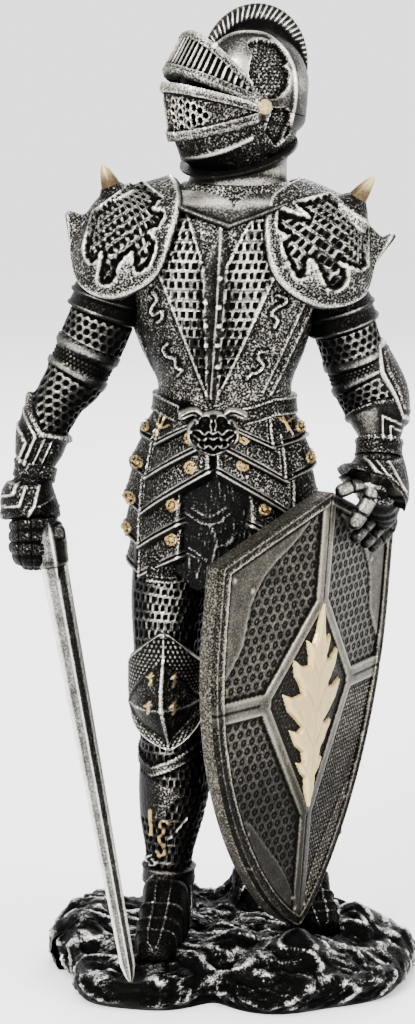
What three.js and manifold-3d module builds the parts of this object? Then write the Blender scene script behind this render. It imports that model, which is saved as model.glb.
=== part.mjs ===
// A knight in full plate and mail on a rocky ground, with a long sword and a tall keeled shield.
// Millimetres, +Z up. The figure looks towards -Y, and its left hand is on the +X side.
import * as THREE from "three";
import { mergeVertices } from "three/addons/utils/BufferGeometryUtils.js";
import Module from "manifold-3d";

const wasm = await Module();
wasm.setup();

// Driving dimensions
const FIGURE_HEIGHT = 300; // underside of the rock to the top of the crest
const ROCK_HEIGHT = 14; // level that the boots stand on
const ROCK_LENGTH = 113;
const ROCK_DEPTH = 78;
const PLATE_EDGE = 1.3; // how far a plate stands off what lies under it
const BAND_WIDTH = 2.6; // raised bands on the sleeves
const STRAP_WIDTH = 5; // straps at the wrists and below the knees
const SHIELD_HALF_WIDTH = 45; // from the keel to a long edge, along the face
const SHIELD_WALL = 6;
const SHIELD_RIM = 3.4;
const SHIELD_STRAP = 3.2;
const SHIELD_RELIEF = 0.9; // rim and straps above the sunk field
const BLADE_WIDTH = 8;
const BLADE_THICKNESS = 4.2;
const GLUE_GAP = 0.35; // between the castings

// Pose and proportions are in modules: one module is a 286th of the height above the rock
const POSE_TOP = 300;
const POSE_SOLE = 14;
const MODULE = (FIGURE_HEIGHT - ROCK_HEIGHT) / (POSE_TOP - POSE_SOLE);
const WELD = 1e-4;
const CRUMB = 1; // cubic millimetres
const DEGREE = Math.PI / 180;
const FRONT = new THREE.Vector3(0, -1, 0);
const UP = new THREE.Vector3(0, 0, 1);

const { sin, cos, abs, max, min, exp, PI, hypot, round, sign, atan2 } = Math;
const mix = THREE.MathUtils.lerp;

// A point of the pose, in modules, as a place in millimetres
function place(x, y, z) {
  return new THREE.Vector3(x * MODULE, y * MODULE, ROCK_HEIGHT + (z - POSE_SOLE) * MODULE);
}

// A smooth bump of height 1 at the centre
function bump(x, centre, width) {
  return exp(-(((x - centre) / width) ** 2));
}

// 0 below low, 1 above high
function ramp(x, low, high) {
  return THREE.MathUtils.smoothstep(x, low, high);
}

// Moves each vertex of a geometry to where the function puts it
function reshape(geometry, move) {
  const position = geometry.attributes.position;
  const point = new THREE.Vector3();
  for (let i = 0; i < position.count; i += 1) {
    point.fromBufferAttribute(position, i);
    const moved = move(point.x, point.y, point.z);
    position.setXYZ(i, moved.x, moved.y, moved.z);
  }
  return geometry;
}

// The signed volume of an indexed geometry, negative when its faces point in
function signedVolume(position, corners) {
  const [a, b, c] = [new THREE.Vector3(), new THREE.Vector3(), new THREE.Vector3()];
  let sum = 0;
  for (let i = 0; i < corners.length; i += 3) {
    a.fromBufferAttribute(position, corners[i]);
    b.fromBufferAttribute(position, corners[i + 1]);
    c.fromBufferAttribute(position, corners[i + 2]);
    sum += a.dot(b.cross(c)) / 6;
  }
  return sum;
}

// A closed geometry as a solid for joins and cuts
function solid(geometry) {
  geometry.deleteAttribute("normal");
  geometry.deleteAttribute("uv");
  const merged = mergeVertices(geometry, WELD);
  const index = merged.index.array;
  const corners = [];
  for (let i = 0; i < index.length; i += 3) {
    const [a, b, c] = [index[i], index[i + 1], index[i + 2]];
    if (a !== b && b !== c && c !== a) {
      corners.push(a, b, c);
    }
  }
  if (signedVolume(merged.attributes.position, corners) < 0) {
    corners.reverse();
  }
  return new wasm.Manifold(
    new wasm.Mesh({
      numProp: 3,
      vertProperties: new Float32Array(merged.attributes.position.array),
      triVerts: new Uint32Array(corners),
    }),
  );
}

function join(solids) {
  return solids.flat(Infinity).reduce((whole, piece) => whole.add(piece));
}

// The body without sealed bubbles, and without the crumbs that a cut leaves
function sound(body) {
  return join(body.decompose().filter((piece) => piece.volume() > CRUMB));
}

// A solid back as a named mesh with its finish
function mesh(name, body, colour, roughness, metalness) {
  const made = body.getMesh();
  const geometry = new THREE.BufferGeometry();
  geometry.setAttribute("position", new THREE.BufferAttribute(new Float32Array(made.vertProperties), 3));
  geometry.setIndex(new THREE.BufferAttribute(new Uint32Array(made.triVerts), 1));
  geometry.computeVertexNormals();
  const finish = new THREE.MeshStandardMaterial({ color: colour, roughness, metalness });
  const result = new THREE.Mesh(geometry, finish);
  result.name = name;
  return result;
}

// A plate as a box whose corners go where the function puts them: u and v over its face, w through it
function plate(across, along, put) {
  const box = new THREE.BoxGeometry(1, 1, 1, across, along, 1);
  return solid(reshape(box, (x, y, z) => put(x + 0.5, y + 0.5, z + 0.5)));
}

// A rounded lump with three half sizes, turned about Z, in modules
function lump(at, half, turn = 0, sides = 10, rings = 6) {
  const ball = new THREE.SphereGeometry(1, sides, rings);
  const [c, s] = [cos(turn), sin(turn)];
  return solid(
    reshape(ball, (x, y, z) => {
      const [across, deep] = [x * half[0], z * half[1]];
      return place(at[0] + across * c + deep * s, at[1] + across * s - deep * c, at[2] + y * half[2]);
    }),
  );
}

// A body of oval sections. Each station, from the lowest up, is x, y, z, half width and half depth in
// modules and the section's turn in degrees. Angle 0 is the front and 90 degrees the figure's left.
class Limb {
  constructor(stations, { front = FRONT, upright = false, form = () => 1 } = {}) {
    this.path = new THREE.CatmullRomCurve3(stations.map(([x, y, z]) => place(x, y, z)));
    this.size = new THREE.CatmullRomCurve3(
      stations.map(([, , , a, b, turn = 0]) => new THREE.Vector3(a * MODULE, b * MODULE, turn * DEGREE)),
    );
    this.front = front;
    this.upright = upright;
    this.form = form;
  }

  // The share of the limb's length where it passes a height, in modules
  level(z) {
    const height = place(0, 0, z).z;
    const rising = this.path.getPoint(1).z > this.path.getPoint(0).z;
    let [low, high] = [0, 1];
    for (let i = 0; i < 30; i += 1) {
      const middle = (low + high) / 2;
      if (this.path.getPoint(middle).z < height === rising) {
        low = middle;
      } else {
        high = middle;
      }
    }
    return low;
  }

  // A point at a share of the length and an angle, standing off the surface and shifted along
  point(share, angle, out = 0, shift = 0, inward = 1) {
    const t = min(max(share, 0), 1);
    const along = this.upright ? UP.clone() : this.path.getTangent(t);
    const side = along.clone().cross(this.front).normalize();
    const ahead = side.clone().cross(along).normalize();
    const size = this.size.getPoint(t);
    const swell = this.form(angle, t);
    const u = (size.x * swell + out) * sin(angle) * inward;
    const v = (size.y * swell + out) * cos(angle) * inward;
    const [c, s] = [cos(size.z), sin(size.z)];
    return this.path
      .getPoint(t)
      .addScaledVector(side, u * c + v * s)
      .addScaledVector(ahead, v * c - u * s)
      .addScaledVector(along, shift);
  }

  // The stretch between two shares as a solid. out and shift may be functions of the angle and of the
  // share of the stretch
  solid({ from = 0, to = 1, sides = 16, rows = 1, out = 0, shift = 0 } = {}) {
    const value = (given, angle, v) => (typeof given === "function" ? given(angle, v) : given);
    const drum = new THREE.CylinderGeometry(1, 1, 1, sides, rows);
    return solid(
      reshape(drum, (x, y, z) => {
        const inward = min(1, hypot(x, z));
        const angle = inward > WELD ? atan2(x, z) : 0;
        const v = y + 0.5;
        const edge = inward > WELD ? 1 : 0;
        return this.point(mix(from, to, v), angle, value(out, angle, v), value(shift, angle, v) * edge, edge);
      }),
    );
  }

  // The limb as one solid whose surface steps in and out. Each level, from the lowest up, is a height in
  // modules, how far it stands off, and how much it leans up towards angle 90 degrees. bend moves the
  // columns to chosen angles
  stepped(levels, { sides = 10, bend = (angle) => angle } = {}) {
    const rows = levels.length - 1;
    const drum = new THREE.CylinderGeometry(1, 1, 1, sides, rows);
    return solid(
      reshape(drum, (x, y, z) => {
        const row = round((y + 0.5) * rows);
        const [height, out, lean = 0] = levels[row];
        const edge = hypot(x, z) > WELD ? 1 : 0;
        const angle = edge ? bend(atan2(x, z), row / rows) : 0;
        return this.point(this.level(height), angle, out * edge, lean * sin(angle) * MODULE * edge, edge);
      }),
    );
  }
}

// Rock

const ROCK_CENTRE = [6.8, 0];
const ROCK_FORM = 2.6; // 2 is an oval, more is nearer a rectangle

// The rock's reach from its centre in a direction
function rockReach(angle) {
  const [c, s] = [abs(cos(angle)) / (ROCK_LENGTH / 2), abs(sin(angle)) / (ROCK_DEPTH / 2)];
  const reach = (c ** ROCK_FORM + s ** ROCK_FORM) ** (-1 / ROCK_FORM);
  const notch = 0.2 * bump(angle, -101 * DEGREE, 13 * DEGREE) + 0.1 * bump(angle, -163 * DEGREE, 16 * DEGREE);
  const lobes = 0.025 * sin(5 * angle + 1) + 0.02 * sin(9 * angle);
  return reach * (1 - notch + lobes);
}

// Boulders on the rock as x, y, half size and rise, in modules
const BOULDERS = [
  [-40, 4, 9, 7],
  [-36, 24, 12, 7],
  [12, 24, 9, 12],
  [46, 2, 9, 9],
  [30, 26, 13, 8],
  [59, -2, 6, 4],
  [10, -18, 8, 5],
  [-10, 28, 9, 9],
];

// The rock's height at a place, at a share of the way out to its edge
function rockTop(x, y, share) {
  const [px, py] = [x / MODULE, y / MODULE];
  let height = ROCK_HEIGHT * (1 - 0.3 * ramp(share, 0.55, 1));
  height += 1.1 * MODULE * sin(px * 0.31) * cos(py * 0.37 + 1);
  for (const [bx, by, reach, rise] of BOULDERS) {
    height += rise * MODULE * bump(hypot(px - bx, py - by), 0, reach);
  }
  for (const [seat, reach] of [[SHIELD_TIP, 7], [SWORD_TIP, 7]]) {
    const near = bump(hypot(px - seat[0], py - seat[1]), 0, reach);
    height = mix(height, place(0, 0, seat[2]).z - GLUE_GAP, near);
  }
  for (const [bx, by] of [[-14, -12], [32, 0]]) {
    const near = bump(hypot((px - bx) * 1.3, py - by), 0, 13);
    height = mix(height, ROCK_HEIGHT + 1, near);
  }
  return height;
}

function rock() {
  const tops = [0, 0.24, 0.45, 0.65, 0.82, 0.96].map((share) => [share, 1]);
  const walls = [[1.02, 0.5], [1, 0.15], [0.97, 0], [0, 0]];
  const profile = [...tops, ...walls].map(([share, level]) => new THREE.Vector2(share, level));
  const turned = new THREE.LatheGeometry(profile, 30);
  return solid(
    reshape(turned, (x, level, z) => {
      const share = hypot(x, z);
      const angle = atan2(z, x);
      const layer = level < 1 && level > 0 ? 0.02 * sin(11 * angle) : 0;
      const reach = rockReach(angle) * share * (1 + layer);
      const px = ROCK_CENTRE[0] * MODULE + reach * cos(angle);
      const py = ROCK_CENTRE[1] * MODULE + reach * sin(angle);
      const top = rockTop(px, py, share);
      return new THREE.Vector3(px, py, level > 0 ? top * level : 0);
    }),
  );
}

// Legs

const rightLeg = new Limb([
  [-12.4, 1, 24, 6.4, 8],
  [-12, 1, 37, 6.3, 7.4],
  [-11.2, 1.5, 50, 8.7, 9],
  [-10.2, 1.5, 62, 10, 10.4],
  [-10.8, 0.5, 77, 9.4, 9.8],
  [-12.6, -1.5, 91, 9.4, 9.6],
  [-12.2, -1.5, 104, 9.8, 10.2],
  [-11.5, 0, 120, 11.2, 11.6],
  [-8.5, 0, 142, 13, 13],
]);

const leftLeg = new Limb([
  [29, 5, 22, 6.4, 8],
  [28, 6, 37, 6.3, 7.4],
  [26, 7, 50, 8.6, 9],
  [25, 6.5, 62, 9.6, 10],
  [24.5, 4.5, 77, 9.2, 9.6],
  [24.5, 2.5, 91, 9.4, 9.6],
  [23.5, 2, 104, 9.8, 10.2],
  [21.5, 1.5, 120, 11.2, 11.6],
  [18, 1, 142, 13, 13],
]);

// The knee cop: a six-sided shell with a four-sided point on it
function kneeCop(leg, middle) {
  const [bottom, top] = [leg.level(middle - 17), leg.level(middle + 17)];
  const half = (v) => min(mix(0.12, 1.3, v / 0.25), 1.3, mix(1.42, 0.12, (v - 0.55) / 0.45));
  return plate(4, 5, (u, v, w) => {
    const angle = mix(-1, 1, u) * half(v) - 6 * DEGREE;
    const away = max(abs(2 * u - 1), abs(v - 0.4) * 1.7);
    const point = 4 * max(0, 1 - away * 1.6);
    return leg.point(mix(bottom, top, v), angle, w ? (2 + point + 1.4 * bump(away, 1, 0.2)) * MODULE : -1);
  });
}

// The levels of a leg in modules: ankle strap, greave with its upper edge, strap below the knee, mail
const LEG_LEVELS = [
  [25, 0],
  [30, 0.2],
  [30.2, 1.1],
  [34.5, 1.1],
  [34.7, 0.2],
  [44, 0.9],
  [56, PLATE_EDGE, 3],
  [56.4, 0, 3],
  [68.5, 0, 2],
  [68.7, 1.1, 2],
  [68.7 + STRAP_WIDTH * 0.8, 1.1, 2],
  [68.9 + STRAP_WIDTH * 0.8, 0, 2],
  [92, 0],
  [118, 0],
  [142, 0],
];

// A boot of overlapping lames from the heel to a blunt toe
function boot(heel, toe) {
  const [dx, dy] = [toe[0] - heel[0], toe[1] - heel[1]];
  const at = (share, z) => [heel[0] + dx * share, heel[1] + dy * share, POSE_SOLE + z];
  const foot = new Limb(
    [
      [...at(-0.08, 6), 2.6, 4],
      [...at(0.1, 8.2), 6.2, 8.2],
      [...at(0.38, 8.6), 6.6, 8.8],
      [...at(0.62, 5.8), 6.7, 6.4],
      [...at(0.84, 3.8), 6.4, 4.4],
      [...at(1, 2.8), 5.2, 3],
    ],
    { front: UP },
  );
  const shares = [0, 0.08, 0.2, 0.4, 0.41, 0.56, 0.57, 0.7, 0.71, 0.85, 0.86, 1];
  const drum = new THREE.CylinderGeometry(1, 1, 1, 8, shares.length - 1);
  return solid(
    reshape(drum, (x, y, z) => {
      const row = round((y + 0.5) * (shares.length - 1));
      const edge = hypot(x, z) > WELD ? 1 : 0;
      const out = row > 3 && row % 2 === 0 ? 0 : 0.8;
      return foot.point(shares[row], edge ? atan2(x, z) : 0, out * edge, 0, edge);
    }),
  );
}

function leg(limb, knee, heel, toe) {
  return [limb.stepped(LEG_LEVELS, { sides: 8 }), kneeCop(limb, knee), boot(heel, toe)];
}

// Hips, tassets and belt

const hips = new Limb(
  [
    [3.8, 0.5, 128, 23.5, 15.5, -6],
    [4.2, 0.5, 142, 24.5, 16.5, -6],
    [4.5, 0.5, 155, 24.5, 17, -8],
    [5, 0.5, 167, 22.8, 16, -12],
    [5.1, 0.5, 178, 20.8, 14.6, -16],
    [5.2, 0.5, 186, 20.2, 13.9, -16],
  ],
  { upright: true },
);
const TASSET_CORNER = 54 * DEGREE; // where a front plate folds into the side plate
const TASSET_EDGES = [172.5, 162.5, 151, 140.5, 131.5]; // lowest corners of the tiers, in modules
const TASSET_RISE = [5.5, 9, 12, 11.5, 9]; // from a corner up to the front slot
const TASSET_REACH = [3.2, 4.2, 4.6, 4.6, 4.2]; // each tier's edge off the hips

// How low a tier's edge is at an angle: 0 at the front and back slots, 1 at the four corners
function tassetDrop(angle) {
  const folded = abs(angle) > PI / 2 ? PI - abs(angle) : abs(angle);
  const past = (folded - TASSET_CORNER) / (PI / 2 - TASSET_CORNER);
  return past < 0 ? folded / TASSET_CORNER : 1 - 0.55 * past;
}

function tasset(tier) {
  const [edge, rise, reach] = [TASSET_EDGES[tier], TASSET_RISE[tier], TASSET_REACH[tier]];
  const upper = tier ? TASSET_EDGES[tier - 1] + 3 : 181;
  const [inner, outer] = tier > 2 ? [21, 24] : [1.5, 3.5];
  const columns = [0, inner, outer, 39, TASSET_CORNER / DEGREE, 72, 90];
  const bend = (angle) => {
    const folded = abs(angle) > PI / 2 ? PI - abs(angle) : abs(angle);
    const turned = columns[round((folded * 12) / PI)] * DEGREE;
    return sign(angle) * (abs(angle) > PI / 2 ? PI - turned : turned);
  };
  const drum = new THREE.CylinderGeometry(1, 1, 1, 24, 1);
  return solid(
    reshape(drum, (x, y, z) => {
      if (hypot(x, z) < WELD) {
        return hips.point(hips.level(y > 0 ? upper : edge + rise), 0, 0, 0, 0);
      }
      const angle = bend(atan2(x, z));
      const open = (inner + 0.5) * DEGREE;
      const slot = abs(angle) < open || abs(angle) > PI - open ? -7 : 0;
      const out = (y > 0 ? reach - 3.4 : reach + PLATE_EDGE / MODULE) + slot;
      const raised = y > 0 ? 0 : rise * (1 - tassetDrop(angle));
      return hips.point(hips.level(y > 0 ? upper : edge), angle, out * MODULE, raised * MODULE);
    }),
  );
}

// The leather cloth between the tassets, with its folds and two points
function loincloth() {
  const fold = (angle) => 0.9 * sin(9 * angle) - (abs(angle) > 1 ? 4 : 0);
  return hips.solid({
    from: 0,
    to: hips.level(166),
    sides: 24,
    rows: 1,
    out: (angle, v) => (1.5 + fold(angle) * (1 - v)) * MODULE,
    shift: (angle, v) => (1 - v) * 2.2 * sin(14 * angle) * MODULE,
  });
}

// The belt with its grotesque mask
function belt() {
  const strap = hips.solid({ from: hips.level(178.6), to: hips.level(183.8), sides: 16, out: 1.6 });
  const at = [1.6, -16.2, 176.6];
  const side = [-1, 1];
  return [
    strap,
    lump(at, [5, 3.6, 5.4], -0.2, 8, 5),
    lump([at[0], at[1] - 3, at[2] + 0.6], [1.7, 1.9, 2.4], -0.2, 6, 4),
    side.map((s) => lump([at[0] + 6.2 * s, at[1] + 0.8, at[2] + 2.4], [3, 1.8, 2], -0.2, 6, 4)),
    lump([at[0], at[1] - 1.8, at[2] - 3.6], [3.6, 1.6, 1.5], -0.2, 6, 4),
  ];
}

// Torso

const torso = new Limb(
  [
    [5, 0.5, 176, 20.6, 14.4, -16],
    [5.2, 0.5, 186, 20.1, 13.9, -16],
    [4.6, 0.2, 198, 24.6, 15.8, -9],
    [4.4, 0, 211, 28.4, 18.2, -4],
    [4.6, 0, 224, 29.4, 19, -3],
    [5.8, 0.5, 235, 26, 17, -4],
    [8, 1, 243, 18.5, 14, -4],
    [9.2, 1.5, 250, 14, 12.5, -4],
  ],
  { upright: true, form: (angle) => 1 + 0.05 * bump(angle, 0, 0.45) },
);

// The cuirass. Its columns follow the flat band down the front and the two raised lines that run from
// under the arms to the waist
function cuirass() {
  const levels = [178, 186, 194, 202, 210, 219, 227, 236, 243, 249];
  const rows = levels.length - 1;
  const sides = 20;
  const drum = new THREE.CylinderGeometry(1, 1, 1, sides, rows);
  return solid(
    reshape(drum, (x, y, z) => {
      const height = levels[round((y + 0.5) * rows)];
      if (hypot(x, z) < WELD) {
        return torso.point(torso.level(height), 0, 0, 0, 0);
      }
      const angle = atan2(x, z);
      const column = round((abs(angle) * sides) / (2 * PI));
      const line = mix(11, 62, min(1, max(0, (height - 186) / 33)));
      const columns = [0, 6, line - 2.5, line, line + 2.5, (line + 86) / 2, 86, 108, 132, 156, 180];
      const out = column === 3 ? 0.9 : column === 1 ? 0.5 : 0;
      return torso.point(torso.level(height), sign(angle) * columns[column] * DEGREE, out);
    }),
  );
}

// The gorget: a flared collar that comes to a point on the chest, and its rim under the helmet
function gorget() {
  const neck = new Limb(
    [
      [7, 0.5, 238.5, 20.4, 16.6],
      [8.4, 1, 243.5, 16.4, 14],
      [9.2, 1, 249, 13.8, 12.8],
      [9.4, 0.5, 254.5, 15.2, 15],
      [9.6, 0.5, 257.5, 16.8, 16.6],
    ],
    { upright: true },
  );
  return neck.solid({
    sides: 16,
    rows: 5,
    shift: (angle, v) => {
      const point = (1 - v) ** 3 * 3 * (abs(sin(angle)) - 0.6);
      const slope = v ** 3 * 3.4 * cos(angle + 0.75);
      return (point - slope) * MODULE;
    },
  });
}

// Helmet, in a frame of its own: f forward, l to the wearer's left, from the middle of the skull

const HEAD = [11.5, 0.5];
const HEAD_TURN = -64 * DEGREE;
const PIVOT = [1.8, 14.4, 270];

function headPlace(f, l, z) {
  const [s, c] = [sin(HEAD_TURN), cos(HEAD_TURN)];
  return place(HEAD[0] + f * s + l * c, HEAD[1] - f * c + l * s, z);
}

// The helmet's rows from the neck to the crown. Each is the reach and height at the front, at the sides
// and at the back
const HELMET_ROWS = [
  [[15, 249], [12, 249], [11.5, 249]],
  [[20.4, 254.8], [13.6, 259.6], [13.6, 257]],
  [[22.6, 260.2], [14.2, 266], [15.6, 262]],
  [[24, 260.4], [15, 266.3], [15.6, 262.2]],
  [[26.4, 276.3], [15.2, 270.2], [18.6, 266]],
  [[20.5, 276.4], [14.2, 270.3], [18.6, 266.1]],
  [[20, 280], [14.2, 270.5], [18.7, 266.4]],
  [[25.7, 280.4], [15.4, 270.6], [18.7, 266.5]],
  [[24.6, 282.4], [15.3, 271.1], [18.8, 267.2]],
  [[20.3, 289.6], [14.9, 272.8], [18.9, 268.4]],
  [[19.2, 291.4], [14.8, 273.4], [19, 269]],
  [[14, 286.2], [14.2, 273.6], [19.4, 271]],
  [[12, 287.4], [13.4, 281], [19.6, 279]],
  [[7.6, 290.6], [10, 287.8], [15.6, 287]],
  [[3, 292.8], [5, 292], [8, 292.2]],
];
const BROW_ROWS = [8, 9];
const FACE_COLUMNS = 14; // over the front half
const NAPE_COLUMNS = 6; // over the back half

function skull() {
  const rows = HELMET_ROWS.length - 1;
  const sides = FACE_COLUMNS + NAPE_COLUMNS;
  return solid(
    reshape(new THREE.CylinderGeometry(1, 1, 1, sides, rows), (x, y, z) => {
      const row = round((y + 0.5) * rows);
      const [front, side, back] = HELMET_ROWS[row];
      if (hypot(x, z) < WELD) {
        return headPlace(-2, 0, row ? 293.4 : front[1]);
      }
      const column = round((atan2(x, z) * sides) / (2 * PI));
      const faced = abs(column) <= FACE_COLUMNS / 2;
      const past = (abs(column) - FACE_COLUMNS / 2) / NAPE_COLUMNS;
      const angle = sign(column) * PI * (faced ? abs(column) / FACE_COLUMNS : 0.5 + past);
      const ahead = faced ? front : back;
      const groove = faced && BROW_ROWS.includes(row) && column % 2 ? 1.1 : 0;
      const ridge = column === 0 && row > 1 && row < 5 ? 0.9 : 0;
      const reach = ahead[0] + (faced ? -3 : 3) - groove + ridge;
      const height = mix(side[1], ahead[1], abs(cos(angle)));
      return headPlace(3 + reach * cos(angle), (side[0] - groove) * sin(angle), height);
    }),
  );
}

function crest() {
  const [from, to] = [34 * DEGREE, 200 * DEGREE];
  const flutes = 14;
  return plate(flutes * 2, 1, (u, v, w) => {
    const angle = mix(from, to, u);
    const rise = 6.8 * max(0, cos(1.05 * (angle - 93 * DEGREE))) ** 1.4;
    const radius = v ? 17.2 + rise : 12;
    const groove = round(u * flutes * 2) % 2 ? 0.55 : 0;
    const half = (v ? 1.5 : 2.6) - groove;
    return headPlace(-2.5 + radius * cos(angle), mix(half, -half, w), 276 + radius * sin(angle));
  });
}

function helmet() {
  const knobs = [-1, 1].map((hand) => {
    const knob = new THREE.CylinderGeometry(2.2, 2.6, 3.4, 8);
    const [f, l, up] = PIVOT;
    return solid(reshape(knob, (x, y, z) => headPlace(f + x, hand * (l + y), up + z)));
  });
  return [skull(), crest(), knobs];
}

// Pauldrons: a dome with a horn at its pole and a wide plate with a scrolled edge round its rim. The rim
// is given over the front half, from beside the neck down and out to the wing at the side

const RIGHT_RIM = [
  [-9.5, 0, 246.5],
  [-8.4, -9, 243.5],
  [-10, -14.5, 233],
  [-15.5, -17, 220],
  [-28, -16.5, 213.8],
  [-37, -12.5, 217],
  [-40.5, -6, 226],
  [-42.6, 1, 238],
];
const LEFT_RIM = [
  [18.8, 0, 246],
  [17.8, -9, 243.5],
  [16.6, -14.5, 232],
  [20.5, -17.5, 219],
  [33, -17, 211.4],
  [45, -13, 213.5],
  [49.5, -6, 222],
  [56.6, 1, 232],
];

function pauldron(centre, rimPoints, hornRoot, hornTip) {
  const middle = place(...centre);
  const back = ([x, y, z]) => [x, 2 - y * 0.94, z];
  const ring = [...rimPoints, ...rimPoints.slice(1, -1).reverse().map(back)].map((p) => place(...p));
  const rim = new THREE.CatmullRomCurve3(ring, true);
  const pole = place(...hornRoot).sub(middle);
  // A place on the dome: round the rim, from the pole to the rim, and off the surface
  const on = (turn, down, out) => {
    const edge = rim.getPoint(((turn % 1) + 1) % 1).sub(middle);
    const angle = pole.angleTo(edge);
    const axis = pole.clone().cross(edge).normalize();
    const ray = pole.clone().normalize().applyAxisAngle(axis, angle * down);
    const oval = MODULE / hypot(ray.x / 12.6, ray.y / 17, ray.z / 16.6);
    return ray.multiplyScalar(mix(oval, edge.length(), down ** 3) + out * MODULE).add(middle);
  };
  const plateEdge = (turn) => 0.66 + 0.07 * sin(turn * 8 * PI) + 0.06 * sin(turn * 14 * PI + 1);
  const levels = [
    [() => 1.03, -2.5],
    [() => 1, 0.6],
    [(turn) => plateEdge(turn) + 0.02, 0.7],
    [plateEdge, -0.5],
    [() => 0.32, -0.5],
    [() => 0.26, 1.2],
    [() => 0.1, 0.5],
    [() => 0, 0.5],
  ];
  const rows = levels.length - 1;
  const sides = rimPoints.length * 2 + 2;
  const dome = solid(
    reshape(new THREE.CylinderGeometry(1, 1, 1, sides, rows), (x, y, z) => {
      const [down, out] = levels[round((y + 0.5) * rows)];
      if (hypot(x, z) < WELD) {
        return y > 0 ? on(0, 0, out) : middle.clone();
      }
      const turn = atan2(x, z) / (2 * PI);
      return on(turn, down(turn), out);
    }),
  );
  const [root, tip] = [place(...hornRoot), place(...hornTip)];
  const horn = solid(
    reshape(new THREE.CylinderGeometry(0.5, 3.2, 1, 7, 2), (x, y, z) => {
      const v = y + 0.5;
      const axis = root.clone().lerp(tip, v * 1.5 - 0.5).addScaledVector(UP, 0.7 * sin(PI * v) * MODULE);
      const slant = -0.5 * x * sign(hornTip[0] - centre[0]);
      return axis.add(new THREE.Vector3(x, -z, slant).multiplyScalar(MODULE));
    }),
  );
  return [dome, horn];
}

// Arms

const rightArm = new Limb([
  [-53.4, -9.5, 147, 5.6, 6.2],
  [-53.4, -8, 153, 5.6, 6.1],
  [-52.4, -6.2, 160, 5.3, 5.9],
  [-49.8, -4, 171, 6, 6.6],
  [-45.2, -1, 181.5, 7, 8],
  [-40.2, 0, 189, 8.7, 9],
  [-36.2, 0, 197, 9, 9.6],
  [-32.2, 0, 206, 9, 10],
  [-27, 0, 222, 10.5, 11.5],
]);

const leftArm = new Limb([
  [49.6, -10, 153.5, 5.6, 6.2],
  [51, -8.5, 158, 5.8, 6.2],
  [52, -5, 168, 5.8, 6.2],
  [52, -2, 175, 7.6, 7.6],
  [50.2, 1, 182, 9, 9],
  [46.8, 2.5, 189, 9.2, 9.4],
  [43.8, 2, 197, 8.6, 9.4],
  [40.8, 1, 206, 8.8, 10],
  [36, 0, 222, 10.5, 11.5],
]);

// A raised band at a height as the levels of a stepped limb
function band(height, out, width) {
  const half = width / 2 / MODULE;
  return [
    [height - half, 0.1],
    [height - half + 0.1, out],
    [height + half - 0.1, out],
    [height + half, 0.1],
  ];
}

// The upper part of both sleeves: two bands round the mail and the lame under the pauldron
function sleeveLevels(lower, upper) {
  const lame = [[203.4, 0.2], [203.6, 1.6], [214, 0.4], [222, 0]];
  return [...band(lower, 1, BAND_WIDTH), ...band(upper, 1, BAND_WIDTH), ...lame];
}

const RIGHT_LEVELS = [
  [147, 3, 2.6],
  [148.4, 3.4, 2.6],
  [153, 1.6, 1.6],
  ...band(159.2, 1.2, STRAP_WIDTH),
  [166, 2.6, -2.5],
  [170, 2.6, -3.5],
  [170.3, 1.8, -3.5],
  [174, 1.8, -4],
  [174.3, 1, -4],
  [178.3, 1.6, -4.5],
  [178.6, 0, -4.5],
  [183.5, 0],
  ...sleeveLevels(189.8, 197),
];

const LEFT_LEVELS = [
  [153.5, 4.2, -5],
  [155, 4.6, -5],
  [160, 2, -3.4],
  ...band(167.4, 1.2, STRAP_WIDTH),
  [177.6, 0.4],
  ...band(179.4, 1, BAND_WIDTH),
  [184, 0],
  ...sleeveLevels(187.6, 194.6),
];

// A finger of three plated joints through points in modules
function finger(points, thick) {
  const stations = points.map((p) => [...p, thick, thick]).reverse();
  return new Limb(stations, { front: new THREE.Vector3(0.8, -0.6, 0) }).solid({ sides: 5, rows: 3 });
}

// The fist round the grip: four fingers as swells of one body, and the thumb
function rightHand() {
  const fist = new Limb([
    [-52.4, -12, 132.5, 4.2, 4.6, 20],
    [-52.4, -11.6, 139, 6.6, 7, 20],
    [-52.6, -10.4, 146, 6.4, 7, 20],
    [-53.2, -9.4, 150, 5.4, 6, 20],
  ]);
  const fingers = [0, 1, 2, 3].flatMap((i) => [
    [133.6 + 3.4 * i, -0.4],
    [135.4 + 3.4 * i, 0.8],
  ]);
  const thumb = lump([-45, -14.5, 143], [2.2, 4.6, 2.6], 0.5, 6, 4);
  return [fist.stepped([[132.6, -1], ...fingers, [149.6, 0]], { sides: 8 }), thumb];
}

function leftHand() {
  const fingers = [0, 1, 2, 3].map((i) => {
    const [x, y] = [46.2 + 2.6 * i, -15.5 + 3.6 * i];
    const z = 156.5 - 1.6 * i;
    const joints = [[-3.6, 1.4, 2], [0.8, -0.6, -1.2], [1.4, -1.2, -8], [-1.2, -0.6, -14.5]];
    return finger(joints.map((joint) => [x + joint[0], y + joint[1], z + joint[2]]), 1.9);
  });
  return [
    lump([48.5, -7.5, 156], [6.6, 7, 5], 0.6, 8, 5),
    fingers,
    finger([[44, -8, 158], [40.5, -13, 158.5], [38.5, -15.5, 158]], 2.1),
  ];
}

function arms() {
  const elbowCop = lump([57, 3, 185], [4, 6.5, 10], 0.2, 8, 6);
  const sleeves = [rightArm.stepped(RIGHT_LEVELS, { sides: 8 }), leftArm.stepped(LEFT_LEVELS, { sides: 8 })];
  return [sleeves, elbowCop, rightHand(), leftHand()];
}

// Shield: two flat halves that meet at a keel, a gable top and long sides that run down to a point

const SHIELD_TIP = [28, -21, 21.9];
const SHIELD_PEAK = [37.6, -18.5, 156.2];
const SHIELD_YAW = [45 * DEGREE, 60.4 * DEGREE]; // which way the right-hand and left-hand halves face
const GABLE = 0.126; // how far the top falls from the peak to a corner, as a share of the height
const STRAIGHT_FROM = 0.7; // above this share of the height the long sides are straight

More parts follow.
